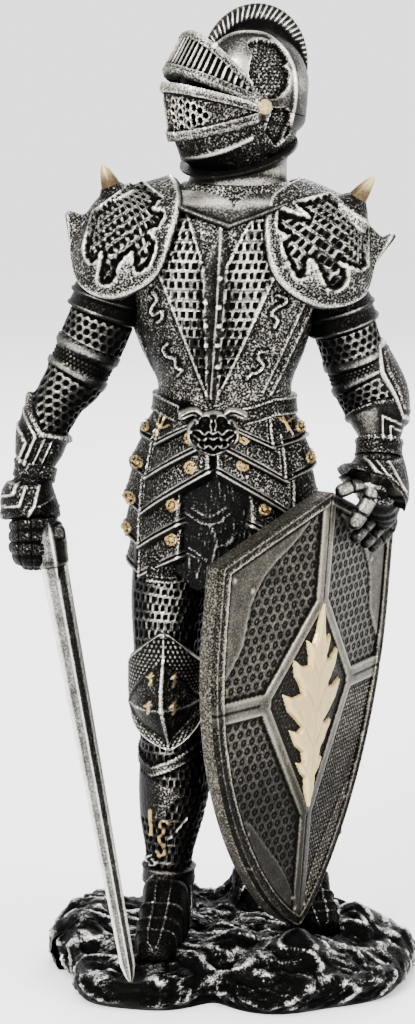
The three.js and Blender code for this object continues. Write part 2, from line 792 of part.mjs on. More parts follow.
const shieldTip = place(...SHIELD_TIP);
const shieldAxis = place(...SHIELD_PEAK).sub(shieldTip);
const shieldHeading = (SHIELD_YAW[0] + SHIELD_YAW[1]) / 2;
const shieldFacing = new THREE.Vector3(sin(shieldHeading), -cos(shieldHeading), 0);

// The half width at a share of the height
function shieldReach(height) {
  const t = min(1, height / STRAIGHT_FROM);
  return SHIELD_HALF_WIDTH * (1 - (1 - t) ** 2) ** 0.75;
}

// A place on the shield: across in mm from the keel, share of the height, mm in front of the face
function onShield(across, height, out) {
  const yaw = SHIELD_YAW[across < 0 ? 0 : 1];
  return shieldTip
    .clone()
    .addScaledVector(shieldAxis, height)
    .add(new THREE.Vector3(cos(yaw), sin(yaw), 0).multiplyScalar(across))
    .addScaledVector(shieldFacing, out);
}

// The shield's body between two depths, with its outline moved in or out
function shieldBody(grow, back, front) {
  const tall = shieldAxis.length();
  return plate(2, 11, (u, v, w) => {
    const side = 2 * u - 1;
    const low = -grow / tall;
    const high = 1 + (grow * 1.2) / tall - GABLE * abs(side);
    const height = mix(low, high, v);
    const reach = v === 0 ? 0 : shieldReach(max(0.004, height - low)) + grow;
    return onShield(side * max(0, reach), height, w ? front : back);
  });
}

// A raised strap on the face between two points, each across and share of the height
function shieldStrap(from, to, width = SHIELD_STRAP) {
  const tall = shieldAxis.length();
  const run = new THREE.Vector2(to[0] - from[0], (to[1] - from[1]) * tall).normalize();
  return plate(1, 1, (u, v, w) => {
    const off = (v - 0.5) * width;
    const across = mix(from[0], to[0], u) - run.y * off;
    const height = mix(from[1], to[1], u) + (run.x * off) / tall;
    const half = sign(from[0] + to[0]) || 1;
    return onShield(half * max(0.05, half * across), height, w ? 0 : -SHIELD_RELIEF - 1);
  });
}

// The emblem: a leafy flame. Each half is a stem with leaves that sweep out and up to a point
function emblemHalf(hand) {
  const [low, high, leaves] = [0.345, 0.735, 5];
  const tall = shieldAxis.length();
  const outline = new THREE.Shape();
  outline.moveTo(0, low * tall);
  for (let i = 0; i < leaves; i += 1) {
    const at = (i + 0.5) / leaves;
    const reach = 11.5 * sin(PI * at) ** 0.8;
    const base = mix(low, high - 0.05, i / leaves) * tall;
    outline.lineTo(1 + reach * 0.42, base + 3);
    outline.lineTo(2 + reach, base + 9);
    outline.lineTo(1 + reach * 0.3, base + 7.6);
  }
  outline.lineTo(0, high * tall);
  const slab = new THREE.ExtrudeGeometry(outline, { depth: SHIELD_RELIEF + 1, bevelEnabled: false });
  return solid(reshape(slab, (x, y, z) => onShield(hand * max(x, 0), y / tall, z - SHIELD_RELIEF - 1)));
}

function shield() {
  const field = shieldBody(-SHIELD_RIM, -SHIELD_RELIEF, SHIELD_WALL);
  const body = shieldBody(0, -SHIELD_WALL, 0).subtract(field);
  const [top, bottom, side] = [0.79, 0.27, 19];
  const straps = [-1, 1].flatMap((hand) => [
    shieldStrap([hand * 2.6, top - 0.01], [hand * 2.6, 0.985], SHIELD_STRAP * 1.4),
    shieldStrap([hand * 0.8, top], [hand * side, 0.54]),
    shieldStrap([hand * side, 0.54], [hand * 0.8, bottom]),
    shieldStrap([hand * side, 0.54], [hand * (SHIELD_HALF_WIDTH - 2), 0.54], SHIELD_STRAP * 1.3),
    shieldStrap([hand * 1.6, 0.03], [hand * 1.6, bottom + 0.01]),
  ]);
  return join([body, straps, emblemHalf(-1), emblemHalf(1)]);
}

// Sword

const SWORD_TOP = [-48.2, -15.5, 146];
const SWORD_GUARD = [-46.2, -16, 133.6];
const SWORD_TIP = [-23.2, -34, 8.4];

function sword(grow = 0) {
  const [top, guard, tip] = [place(...SWORD_TOP), place(...SWORD_GUARD), place(...SWORD_TIP)];
  const axis = guard.clone().sub(tip);
  const ahead = new THREE.Vector3(0.25, -1, 0).normalize();
  const across = axis.clone().cross(ahead).normalize();
  const face = across.clone().cross(axis).normalize();
  const blade = plate(2, 6, (u, v, w) => {
    const taper = v === 0 ? 0.12 : mix(0.52, 1, v);
    const half = (BLADE_WIDTH / 2) * taper + grow;
    const side = 2 * u - 1;
    const thick = (side ? 0.3 : 0.5) * BLADE_THICKNESS * taper + grow;
    return tip
      .clone()
      .addScaledVector(axis, v === 0 ? -grow / axis.length() : v)
      .addScaledVector(across, side * half)
      .addScaledVector(face, (w ? 1 : -1) * thick);
  });
  const block = plate(2, 3, (u, v, w) => {
    const half = [0.5, 0.85, 0.95, 0.2][round(v * 3)] * 5.6 * MODULE + grow;
    const side = 2 * u - 1;
    return guard
      .clone()
      .lerp(top, v * 1.06 - 0.06)
      .addScaledVector(across, side * half)
      .addScaledVector(face, w ? (side ? 3 : 4.6) * MODULE + grow : -3 * MODULE - grow);
  });
  return blade.add(block);
}

// The three castings

const castShield = shield();
const castSword = sword();
const shieldSeat = shieldBody(GLUE_GAP, -SHIELD_WALL - GLUE_GAP, GLUE_GAP);
const swordSeat = sword(GLUE_GAP);

const figure = join([
  rock(),
  leg(rightLeg, 94, [-10.5, 7], [-16.4, -30]),
  leg(leftLeg, 94, [28, 13], [35.6, -10]),
  hips.solid({ sides: 12, rows: 2, out: -2.5 * MODULE }),
  TASSET_EDGES.map((edge, tier) => tasset(tier)),
  loincloth(),
  belt(),
  cuirass(),
  gorget(),
  helmet(),
  pauldron([-24.5, 0, 229], RIGHT_RIM, [-29.4, -3, 245], [-31.4, -4, 252.8]),
  pauldron([34.5, 0, 227.5], LEFT_RIM, [44.2, -3, 242.5], [49.6, -4, 249.2]),
  arms(),
]);
const knight = sound(figure.subtract(shieldSeat).subtract(swordSeat));

const group = new THREE.Group();
group.add(mesh("knight_on_rock", knight, 0x4d4c49, 0.45, 0.7));
group.add(mesh("sword", castSword, 0x6b6965, 0.42, 0.7));
group.add(mesh("shield", castShield, 0x58544d, 0.5, 0.6));

export default group;
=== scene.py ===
import logging
import math
from dataclasses import dataclass, field
from enum import Enum
from typing import Callable, Sequence

import bpy
import numpy as np
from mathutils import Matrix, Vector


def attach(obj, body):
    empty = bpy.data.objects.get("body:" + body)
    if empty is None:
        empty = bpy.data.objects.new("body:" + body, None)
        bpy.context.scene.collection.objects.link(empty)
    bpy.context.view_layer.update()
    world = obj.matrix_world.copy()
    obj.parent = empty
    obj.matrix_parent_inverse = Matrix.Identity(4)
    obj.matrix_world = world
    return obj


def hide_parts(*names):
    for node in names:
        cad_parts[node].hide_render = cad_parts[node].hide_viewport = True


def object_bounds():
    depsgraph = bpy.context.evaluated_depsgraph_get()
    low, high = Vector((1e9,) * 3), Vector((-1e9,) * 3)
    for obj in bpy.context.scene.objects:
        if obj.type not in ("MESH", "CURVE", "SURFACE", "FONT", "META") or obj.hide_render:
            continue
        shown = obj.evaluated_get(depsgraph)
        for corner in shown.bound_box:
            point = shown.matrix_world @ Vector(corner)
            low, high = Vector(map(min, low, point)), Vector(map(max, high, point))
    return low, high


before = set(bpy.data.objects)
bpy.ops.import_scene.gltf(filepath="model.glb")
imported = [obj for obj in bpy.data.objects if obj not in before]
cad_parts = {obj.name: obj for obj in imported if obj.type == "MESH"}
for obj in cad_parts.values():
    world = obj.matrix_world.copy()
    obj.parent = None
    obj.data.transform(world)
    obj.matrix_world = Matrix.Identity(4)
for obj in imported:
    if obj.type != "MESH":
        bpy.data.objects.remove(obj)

LOG = logging.getLogger("knight")
CAD_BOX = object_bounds()
MODULES_TALL = 300.0
MODULE = CAD_BOX[1].z / MODULES_TALL  # metres in a module, which is a millimetre at the real size
GRAIN = 0.45  # modules between neighbouring points of a carved skin
DEGREE = math.pi / 180
LINE_REACH = 6.0  # modules round a drawn line in which distances are worked out
FAR = 99.0  # the distance given beyond that
MERGED_BELOW = 1e-6  # metres between points that are one
SMOOTH_BELOW = 65 * DEGREE  # edges sharper than this stay sharp
SHARP_BOARD = 35 * DEGREE  # the same for the shield's board
SIDES = {-1: "right", 1: "left"}  # the figure's sides by the sign of a hand

Field = np.ndarray
Tuple3 = tuple[float, float, float]
Line = Sequence[tuple[float, float]]
Lines = Sequence[Line]
Rows = Sequence[Sequence[float]]
Profile = Callable[[Field], Field]
Piece = bpy.types.Object


# Shaping helpers


def ramp(x: Field, low: float, high: float) -> Field:
    """The smooth step from 0 at low to 1 at high, which may be below low."""
    t = np.clip((x - low) / (high - low), 0, 1)
    return t * t * (3 - 2 * t)


def bump(x: Field, centre: float, width: float) -> Field:
    """A smooth bump of height 1 at the centre."""
    return np.exp(-(((x - centre) / width) ** 2))


def mix(a: Field | float, b: Field | float, share: Field | float) -> Field:
    """The blend from a to b."""
    return a + (b - a) * share


def spline(stations: Rows, share: Field, closed: bool = False) -> Field:
    """Points on the curve through some stations.

    Args:
        stations: the points that the curve passes.
        share: shares of the way, counted by stations.
        closed: whether the last station leads back to the first.

    Returns:
        An array of the shape of share with one more axis for the coordinates.
    """
    points = np.asarray(stations, float)
    count = len(points)
    at = np.clip(np.asarray(share, float), 0, 1) * (count if closed else count - 1)
    first = np.minimum(np.floor(at).astype(int), count - (1 if closed else 2))
    t = (at - first)[..., None]
    if closed:
        p = [points[(first + k) % count] for k in (-1, 0, 1, 2)]
    else:
        ends = np.vstack([2 * points[0] - points[1], points, 2 * points[-1] - points[-2]])
        p = [ends[first + k] for k in range(4)]
    gap = [np.sqrt(np.linalg.norm(p[k + 1] - p[k], axis=-1, keepdims=True)).clip(1e-4) for k in range(3)]
    out = (p[1] - p[0]) / gap[0] - (p[2] - p[0]) / (gap[0] + gap[1]) + (p[2] - p[1]) / gap[1]
    into = (p[2] - p[1]) / gap[1] - (p[3] - p[1]) / (gap[1] + gap[2]) + (p[3] - p[2]) / gap[2]
    out, into = out * gap[1], into * gap[1]
    cubic = 2 * p[1] - 2 * p[2] + out + into
    square = -3 * p[1] + 3 * p[2] - 2 * out - into
    return p[1] + t * (out + t * (square + t * cubic))


def unit(vectors: Field) -> Field:
    """The vectors at length 1."""
    return vectors / np.maximum(np.linalg.norm(vectors, axis=-1, keepdims=True), 1e-9)


def line_distance(x: Field, z: Field, line: Line, smooth: bool = True) -> Field:
    """How far each point of a flat picture is from a drawn line.

    Args:
        x: the points' first coordinate.
        z: the points' second coordinate.
        line: the line's points.
        smooth: whether the line curves through its points.

    Returns:
        The distances, and a large number far from the line.
    """
    path = np.asarray(line, float)
    if smooth and len(line) > 2:
        path = spline(line, np.linspace(0, 1, 8 * len(line)))
    near = (x > path[:, 0].min() - LINE_REACH) & (x < path[:, 0].max() + LINE_REACH)
    near &= (z > path[:, 1].min() - LINE_REACH) & (z < path[:, 1].max() + LINE_REACH)
    found = np.full(x.shape, FAR)
    best = np.full(int(near.sum()), FAR)
    px, pz = x[near], z[near]
    for (ax, az), (bx, bz) in zip(path[:-1], path[1:]):
        dx, dz = bx - ax, bz - az
        t = np.clip(((px - ax) * dx + (pz - az) * dz) / max(dx * dx + dz * dz, 1e-9), 0, 1)
        best = np.minimum(best, np.hypot(px - ax - t * dx, pz - az - t * dz))
    found[near] = best
    return found


def inside(x: Field, z: Field, outline: Line) -> Field:
    """True where a point of a flat picture is inside a closed outline."""
    within = np.zeros(x.shape, bool)
    ends = list(outline[1:]) + [outline[0]]
    for (ax, az), (bx, bz) in zip(outline, ends):
        crosses = (az > z) != (bz > z)
        within ^= crosses & (x < (bx - ax) * (z - az) / (bz - az + 1e-12) + ax)
    return within


# Patterns that are carved over a skin, from 0 in the recesses to 1 on top


def staggered(s: Field, t: Field, wide: float, tall: float) -> tuple[Field, Field]:
    """Places from the middle of the cell that each point is in, each row of cells half a cell over."""
    row = np.floor(t / tall)
    return ((s / wide + 0.5 * (row % 2)) % 1 - 0.5) * wide, ((t / tall) % 1 - 0.5) * tall


def mail(s: Field, t: Field, wide: float, tall: float, wall: float) -> Field:
    """Links of mail as frames round upright holes, each row half a link over.

    Args:
        s: distance across the skin.
        t: distance along the skin.
        wide: a link's width.
        tall: a link's height.
        wall: width between two holes.

    Returns:
        The height of the carving.
    """
    x, y = np.abs(staggered(s, t, wide, tall))
    away = np.maximum(x - (wide - wall) / 2, y - (tall - wall) / 2)
    return ramp(away, -0.28, 0.2) - 0.5 * bump(np.minimum(wide / 2 - x, tall / 2 - y), 0, 0.22)


def punched_rings(s: Field, t: Field, pitch: float = 3.5, tall: float = 2.8, radius: float = 0.8) -> Field:
    """Punched rings with a dot in each, in staggered rows: 1 at the bottom of a punch."""
    away = np.hypot(*staggered(s, t, pitch, tall))
    return np.clip(bump(away, radius, 0.28) + 0.35 * bump(away, 0, 0.26), 0, 1)


def pierced(s: Field, t: Field, pitch: float, radius: float) -> Field:
    """Round holes in staggered rows: 0 in the holes."""
    return ramp(np.hypot(*staggered(s, t, pitch, pitch * 0.87)), radius - 0.3, radius + 0.25)


def rosette(x: Field, z: Field, at: tuple[float, float], radius: float) -> Field:
    """A small flower boss with a ring of petals."""
    away, turn = np.hypot(x - at[0], z - at[1]), np.arctan2(z - at[1], x - at[0])
    petals = ramp(away, radius, radius - 0.5) * (0.75 + 0.25 * np.cos(8 * turn))
    return petals - 0.7 * bump(away, 0.5 * radius, 0.28) + 0.3 * bump(away, 0, 0.5)


def blurred(values: Field, reach: int, wraps: bool) -> Field:
    """The values with a soft blur over some grid steps either way."""
    weights = np.hanning(2 * reach + 3)[1:-1]
    weights /= weights.sum()
    for axis in (0, 1):
        pad = [(0, 0), (0, 0)]
        pad[axis] = (reach, reach)
        mode = "wrap" if wraps and axis == 1 else "edge"
        wide = np.pad(values, pad, mode=mode)
        total = np.zeros_like(values)
        for k, weight in enumerate(weights):
            part = [slice(None), slice(None)]
            part[axis] = slice(k, k + values.shape[axis])
            total += weight * wide[tuple(part)]
        values = total
    return values


def shut_ends(like: Field) -> Field:
    """0 in the first and the last row and 1 between, in the shape of another grid."""
    ends = np.ones_like(like)
    ends[[0, -1]] = 0
    return ends


def by_row(values: Field, like: Field | float = 1.0) -> Field:
    """A value for each row of a grid, the first and the last given twice."""
    return np.pad(np.asarray(values, float), 1, mode="edge")[:, None] * np.ones_like(like)


# Finishes


class Metal(Enum):
    """The paints that the figurine wears."""

    SILVER = "antique_silver"
    PEWTER = "brown_pewter"
    BLADE = "worn_blade"
    LEATHER = "leather_cloth"
    BRASS = "pale_brass"
    ROCK = "black_rock"


@dataclass(frozen=True)
class Finish:
    """One paint: black wash in the recesses, a middle tone and what is dry-brushed on top."""

    wash: Tuple3
    body: Tuple3
    top: Tuple3
    gilt: Tuple3 = (0.4, 0.27, 0.11)
    roughness: float = 0.42
    metallic: float = 0.95
    stipple: float = 0.9
    stipple_size: float = 0.6
    wear: float = 0.6

    def material(self, name: str) -> bpy.types.Material:
        """The finish as a Blender material.

        Args:
            name: the material's name.

        Returns:
            The new material.
        """
        made = bpy.data.materials.new(name)
        made.use_nodes = True
        nodes, links = made.node_tree.nodes, made.node_tree.links
        shader = nodes["Principled BSDF"]
        paint = nodes.new("ShaderNodeGroup")
        paint.node_tree = paint_group()
        carving = nodes.new("ShaderNodeAttribute")
        carving.attribute_name = CARVING
        place = nodes.new("ShaderNodeTexCoord")
        links.new(carving.outputs["Color"], paint.inputs["Carving"])
        links.new(place.outputs["Object"], paint.inputs["Place"])
        links.new(carving.outputs["Alpha"], paint.inputs["Pitting"])
        for socket, colour in (("Wash", self.wash), ("Body", self.body), ("Top", self.top), ("Gilt", self.gilt)):
            paint.inputs[socket].default_value = (*colour, 1)
        for socket, value in (("Roughness", self.roughness), ("Stipple", self.stipple), ("Wear", self.wear),
                              ("Stipple Scale", 1 / (self.stipple_size * MODULE))):
            paint.inputs[socket].default_value = value
        shader.inputs["Metallic"].default_value = self.metallic
        shader.inputs["Specular IOR Level"].default_value = SPECULAR
        for given, used in (("Colour", "Base Color"), ("Roughness", "Roughness"), ("Normal", "Normal")):
            links.new(paint.outputs[given], shader.inputs[used])
        return made


CARVING = "carving"  # red: height of the carving, green: gilding, blue: painted light and shade as a factor on the paint's level, alpha: stipple
PLAIN_PAINT = (0.5, 0, 1, 0.9)  # the same of a piece without carving
SPECULAR = 0.15  # level of the reflections that aren't metallic
WASH = (0.2, 0.56)  # levels between which black wash becomes the body's tone
BRUSH = (-0.16, 0.52)  # and, round the wear, the body's tone becomes the dry-brushed top
FINISHES = {
    Metal.SILVER: Finish((0.0012, 0.0011, 0.001), (0.0135, 0.0127, 0.0113), (0.86, 0.808, 0.715)),
    Metal.PEWTER: Finish((0.0025, 0.0022, 0.0018), (0.021, 0.0188, 0.0152), (0.26, 0.236, 0.19), wear=0.54),
    Metal.BLADE: Finish((0.005, 0.0048, 0.0044), (0.06, 0.0575, 0.053), (0.9, 0.865, 0.79), roughness=0.36,
                        stipple=0.5, wear=0.5),
    Metal.LEATHER: Finish((0.0012, 0.0012, 0.0011), (0.005, 0.0048, 0.0044), (0.42, 0.4, 0.37), roughness=0.5,
                          metallic=0.7),
    Metal.BRASS: Finish((0.05, 0.032, 0.014), (0.3, 0.222, 0.11), (0.58, 0.44, 0.2), metallic=0.6, stipple=0.45,
                        wear=0.5),
    Metal.ROCK: Finish((0.0012, 0.0012, 0.0011), (0.006, 0.0057, 0.0052), (0.7, 0.675, 0.63), stipple=0.7),
}


def paint_group() -> bpy.types.NodeTree:
    """The shared effect of black wash, body tone, dry-brushed tops, gilding, fine stipple and painted light and shade.
    """
    known = bpy.data.node_groups.get("antique_paint")
    if known:
        return known
    group = bpy.data.node_groups.new("antique_paint", "ShaderNodeTree")
    socket = group.interface.new_socket
    for way, kind, names in (
            ("INPUT", "Color", ("Carving", "Wash", "Body", "Top", "Gilt")), ("INPUT", "Vector", ("Place",)),
            ("INPUT", "Float", ("Roughness", "Pitting", "Stipple", "Stipple Scale", "Wear")),
            ("OUTPUT", "Color", ("Colour",)), ("OUTPUT", "Float", ("Roughness",)), ("OUTPUT", "Vector", ("Normal",))):
        for name in names:
            socket(name, in_out=way, socket_type=f"NodeSocket{kind}")
    nodes, links = group.nodes, group.links
    given = nodes.new("NodeGroupInput").outputs
    result = nodes.new("NodeGroupOutput").inputs

    def give(slot: bpy.types.NodeSocket, value: object) -> None:
        """Sets a socket to a number or links another socket to it."""
        if isinstance(value, (int, float)):
            slot.default_value = value
        else:
            links.new(value, slot)

    def maths(operation: str, *values: object, clamp: bool = False) -> bpy.types.NodeSocket:
        """A Math node over sockets and numbers."""
        node = nodes.new("ShaderNodeMath")
        node.operation, node.use_clamp = operation, clamp
        for slot, value in zip(node.inputs, values):
            give(slot, value)
        return node.outputs[0]

    def step(value: object, low: object, high: object) -> bpy.types.NodeSocket:
        """A smooth step from 0 at low to 1 at high."""
        node = nodes.new("ShaderNodeMapRange")
        node.interpolation_type = "SMOOTHSTEP"
        for name, number in (("Value", value), ("From Min", low), ("From Max", high)):
            give(node.inputs[name], number)
        return node.outputs[0]

    def blend(factor: object, a: object, b: object) -> bpy.types.NodeSocket:
        """A colour mix of two sockets."""
        node = nodes.new("ShaderNodeMix")
        node.data_type = "RGBA"
        for slot, value in ((0, factor), (6, a), (7, b)):
            links.new(value, node.inputs[slot])
        return node.outputs[2]

    def noise(scale: object, detail: float) -> bpy.types.NodeSocket:
        """A noise texture over the object's own place."""
        node = nodes.new("ShaderNodeTexNoise")
        node.inputs["Detail"].default_value = detail
        links.new(given["Place"], node.inputs["Vector"])
        links.new(scale, node.inputs["Scale"])
        return node.outputs["Fac"]

    split = nodes.new("ShaderNodeSeparateColor")
    links.new(given["Carving"], split.inputs[0])
    height, gilding, light = split.outputs
    cells = nodes.new("ShaderNodeTexVoronoi")
    links.new(given["Place"], cells.inputs["Vector"])
    links.new(given["Stipple Scale"], cells.inputs["Scale"])
    fine = maths("ADD", maths("MULTIPLY", cells.outputs["Distance"], 0.75),
                 maths("MULTIPLY", noise(maths("MULTIPLY", given["Stipple Scale"], 2.3), 2), 0.4))
    broad = noise(maths("MULTIPLY", given["Stipple Scale"], 0.12), 3)
    grit = maths("MULTIPLY", maths("SUBTRACT", fine, 0.57), maths("MULTIPLY", given["Stipple"], given["Pitting"]))
    level = maths("ADD", height, maths("ADD", grit, maths("MULTIPLY", maths("SUBTRACT", broad, 0.5), 0.24)))
    # Painted light and shade from the blue channel scales the level.
    level = maths("MULTIPLY", level, light)
    washed, brushed = step(level, *WASH), step(level, *(maths("ADD", given["Wear"], number) for number in BRUSH))
    bright = blend(brushed, blend(washed, given["Wash"], given["Body"]), given["Top"])
    gold = blend(maths("MULTIPLY", washed, 0.9, clamp=True), given["Wash"], given["Gilt"])
    links.new(blend(gilding, bright, gold), result["Colour"])
    links.new(maths("ADD", given["Roughness"], maths("MULTIPLY", maths("SUBTRACT", 0.6, level), 0.3), clamp=True),
              result["Roughness"])
    relief = nodes.new("ShaderNodeBump")
    relief.inputs["Strength"].default_value = 0.6
    relief.inputs["Distance"].default_value = 0.3 * MODULE
    links.new(maths("MULTIPLY", fine, given["Pitting"]), relief.inputs["Height"])
    links.new(relief.outputs["Normal"], result["Normal"])
    return group


MATERIALS: dict[Metal, bpy.types.Material] = {}  # the materials made so far


def finish_of(metal: Metal) -> bpy.types.Material:
    """The material of a paint, made at its first use."""
    if metal not in MATERIALS:
        MATERIALS[metal] = FINISHES[metal].material(metal.value)
    return MATERIALS[metal]


# Skins and solids


def added(name: str, add: Callable[..., object], **given: object) -> Piece:
    """A primitive as a new piece, with nothing else selected.

    Args:
        name: the piece's name.
        add: the operator that adds the primitive.
        given: the operator's own settings.

    Returns:
        The piece.
    """
    bpy.ops.object.select_all(action="DESELECT")
    add(**given)
    piece = bpy.context.object
    piece.name = piece.data.name = name
    return piece


def places_of(piece: Piece) -> Field:
    """The places of a piece's vertices, one in each row."""
    places = np.zeros(3 * len(piece.data.vertices))
    piece.data.vertices.foreach_get("co", places)
    return places.reshape(-1, 3)


def move_to(piece: Piece, places: Field) -> None:
    """Moves a piece's vertices to places in modules."""
    piece.data.vertices.foreach_set("co", (places * MODULE).ravel())


def dress(piece: Piece, metal: Metal, paint: Field | tuple[float, ...] = PLAIN_PAINT) -> None:
    """Gives a piece its one paint.

    Args:
        piece: the mesh object.
        metal: its paint.
        paint: the four values of CARVING, for each vertex or for all of them.
    """
    layer = piece.data.attributes.new(CARVING, "FLOAT_COLOR", "POINT")
    layer.data.foreach_set("color", np.broadcast_to(paint, (len(piece.data.vertices), 4)).astype(float).ravel())
    piece.data.materials.append(finish_of(metal))


class Skin:
    """A closed grid of points over a form, with the relief and the paint carved on it.

    The first and the last row may each be gathered into one point, which closes the form's ends.
    """

    def __init__(self, points: Field, wraps: bool = True) -> None:
        """Starts with a bare form.

        Args:
            points: rows by columns by coordinates, in modules.
            wraps: whether the last column lies on the first.
        """
        self.points = points
        self.wraps = wraps
        self.relief = np.zeros(points.shape[:2])
        self.gilt = np.zeros(points.shape[:2])
        # Painted light and shade: a factor on the paint's level, 1 where nothing is painted.
        self.light = np.ones(points.shape[:2])
        self.base = np.full(points.shape[:2], 0.5)
        self.pits = np.full(points.shape[:2], 0.35)
        self.out = self.normals(points)

    def normals(self, points: Field) -> Field:
        """The outward direction at each point of the grid."""
        if self.wraps:
            ring = points[:, :-1]
            across = (np.roll(ring, -1, 1) - np.roll(ring, 1, 1)) / 2
            across = np.concatenate([across, across[:, :1]], 1)
        else:
            across = np.gradient(points, axis=1)
        return unit(np.cross(across, np.gradient(points, axis=0)))

    @property
    def x(self) -> Field:
        """The form's x at each point."""
        return self.points[..., 0]

    @property
    def y(self) -> Field:
        """The form's y at each point."""
        return self.points[..., 1]

    @property
    def z(self) -> Field:
        """The form's height at each point."""
        return self.points[..., 2]

    def carve(self, height: Field, depth: float, where: Field | float = 1.0) -> None:
        """Adds a pattern of heights from 0 to 1 to the relief, as deep as some modules where it is wanted."""
        self.relief = self.relief + height * depth * where

    def raise_line(self, line: Line, width: float, tall: float, where: Field | float = 1.0, gilt: float = 0.0,
                   smooth: bool = True) -> Field:
        """Carves a rounded line that is drawn on the front view.

        Args:
            line: its points as x and z.
            width: its width.
            tall: its height, negative for a groove.
            where: the share of it that each point takes.
            gilt: how much of it is gold.
            smooth: whether it curves through its points.

        Returns:
            The line's mask.
        """
        mask = bump(line_distance(self.x, self.z, line, smooth), 0, 0.55 * width) * where
        self.relief = self.relief + mask * tall
        self.gilt = np.maximum(self.gilt, gilt * ramp(mask, 0.25, 0.6))
        self.base = self.base + 0.25 * mask
        self.pits = self.pits * (1 - mask)
        # A raised line is kept out of any painted shade.
        self.light = np.maximum(self.light, mask)
        return mask

    def raise_lines(self, lines: Lines, *given: object, **named: object) -> None:
        """Carves several rounded lines alike."""
        for line in lines:
            self.raise_line(line, *given, **named)

    def rivets(self, places: Line, radius: float = 0.7, tall: float = 0.6) -> None:
        """Carves small round heads at places of the front view."""
        for x, z in places:
            self.carve(ramp(np.hypot(self.x - x, self.z - z), radius, radius * 0.3), tall)

    def flowers(self, places: Line, radius: float = 2.0) -> None:
        """Carves gilded flower bosses at places of the front view."""
        for at in places:
            self.carve(rosette(self.x, self.z, at, radius), 0.9)
            spot = ramp(np.hypot(self.x - at[0], self.z - at[1]), radius, radius - 0.4)
            self.gilt = np.maximum(self.gilt, spot * self.front())
            self.base = self.base + 0.25 * spot

    def grain(self, depth: float, where: Field | float = 1.0) -> None:
        """Carves fine stipple, most of it in the paint."""
        grains = np.random.default_rng(1).normal(size=self.relief.shape)
        if self.wraps:
            grains[:, -1] = grains[:, 0]
        self.relief = self.relief + 0.3 * depth * grains * where
        self.pits = np.clip(self.pits + 7 * depth * where, 0, 1)

    @property
    def run(self) -> Field:
        """Distance of each point from the first row, along its column."""
        steps = np.linalg.norm(np.diff(self.points, axis=0), axis=-1)
        return np.vstack([np.zeros((1, steps.shape[1])), np.cumsum(steps, axis=0)])

    def front(self, low: float = 0.05, high: float = 0.3) -> Field:
        """1 where the form faces the viewer, 0 behind."""
        return ramp(-self.out[..., 1], low, high)

    def within(self, *outlines: Line) -> Field:
        """1 inside any of some outlines on the front view, soft at their edges."""
        return blurred(np.any([inside(self.x, self.z, line) for line in outlines], axis=0).astype(float), 1, True)

    def build(self, name: str, metal: Metal, gain: float = 1.5, reach: int = 4,
              back: Sequence[float] = (0.0, 0.0, 0.0)) -> Piece:
        """Models the skin from a grid primitive.

        Args:
            name: the piece's name.
            metal: its paint.
            gain: how strongly the carving shows in the paint, per module of height.
            reach: grid steps that the carving is compared over.
            back: where the outer edge of an open skin is drawn back to before it is closed, in modules.

        Returns:
            The finished piece.
        """
        rows, columns = self.relief.shape
        piece = added(
            name, bpy.ops.mesh.primitive_grid_add, x_subdivisions=columns - 1, y_subdivisions=rows - 1, size=1)
        flat = places_of(piece)
        across = np.rint((flat[:, 0] + 0.5) * (columns - 1)).astype(int)
        along = np.rint((flat[:, 1] + 0.5) * (rows - 1)).astype(int)
        move_to(piece, (self.points + self.out * self.relief[..., None])[along, across])
        local = self.base + gain * (self.relief - blurred(self.relief, reach, self.wraps))
        # Painted shade: faces that look down get up to half the paint's level.
        under = 1 - 0.5 * ramp(-self.out[..., 2], 0.1, 0.8)
        paint = np.stack([np.clip(local, 0, 1), self.gilt, self.light * under, self.pits], -1)
        dress(piece, metal, paint[along, across])
        bpy.ops.object.mode_set(mode="EDIT")
        bpy.ops.mesh.select_all(action="SELECT")
        bpy.ops.mesh.remove_doubles(threshold=MERGED_BELOW)
        if not self.wraps:
            bpy.ops.mesh.select_all(action="DESELECT")
            bpy.ops.mesh.select_non_manifold(
                extend=False, use_wire=False, use_multi_face=False, use_non_contiguous=False, use_verts=False)
            bpy.ops.mesh.extrude_edges_move(TRANSFORM_OT_translate={"value": tuple(MODULE * b for b in back)})
            bpy.ops.mesh.fill_holes(sides=0)
        bpy.ops.mesh.select_all(action="SELECT")
        bpy.ops.mesh.normals_make_consistent(inside=False)
        bpy.ops.object.mode_set(mode="OBJECT")
        bpy.ops.object.shade_smooth_by_angle(angle=SMOOTH_BELOW)
        return piece


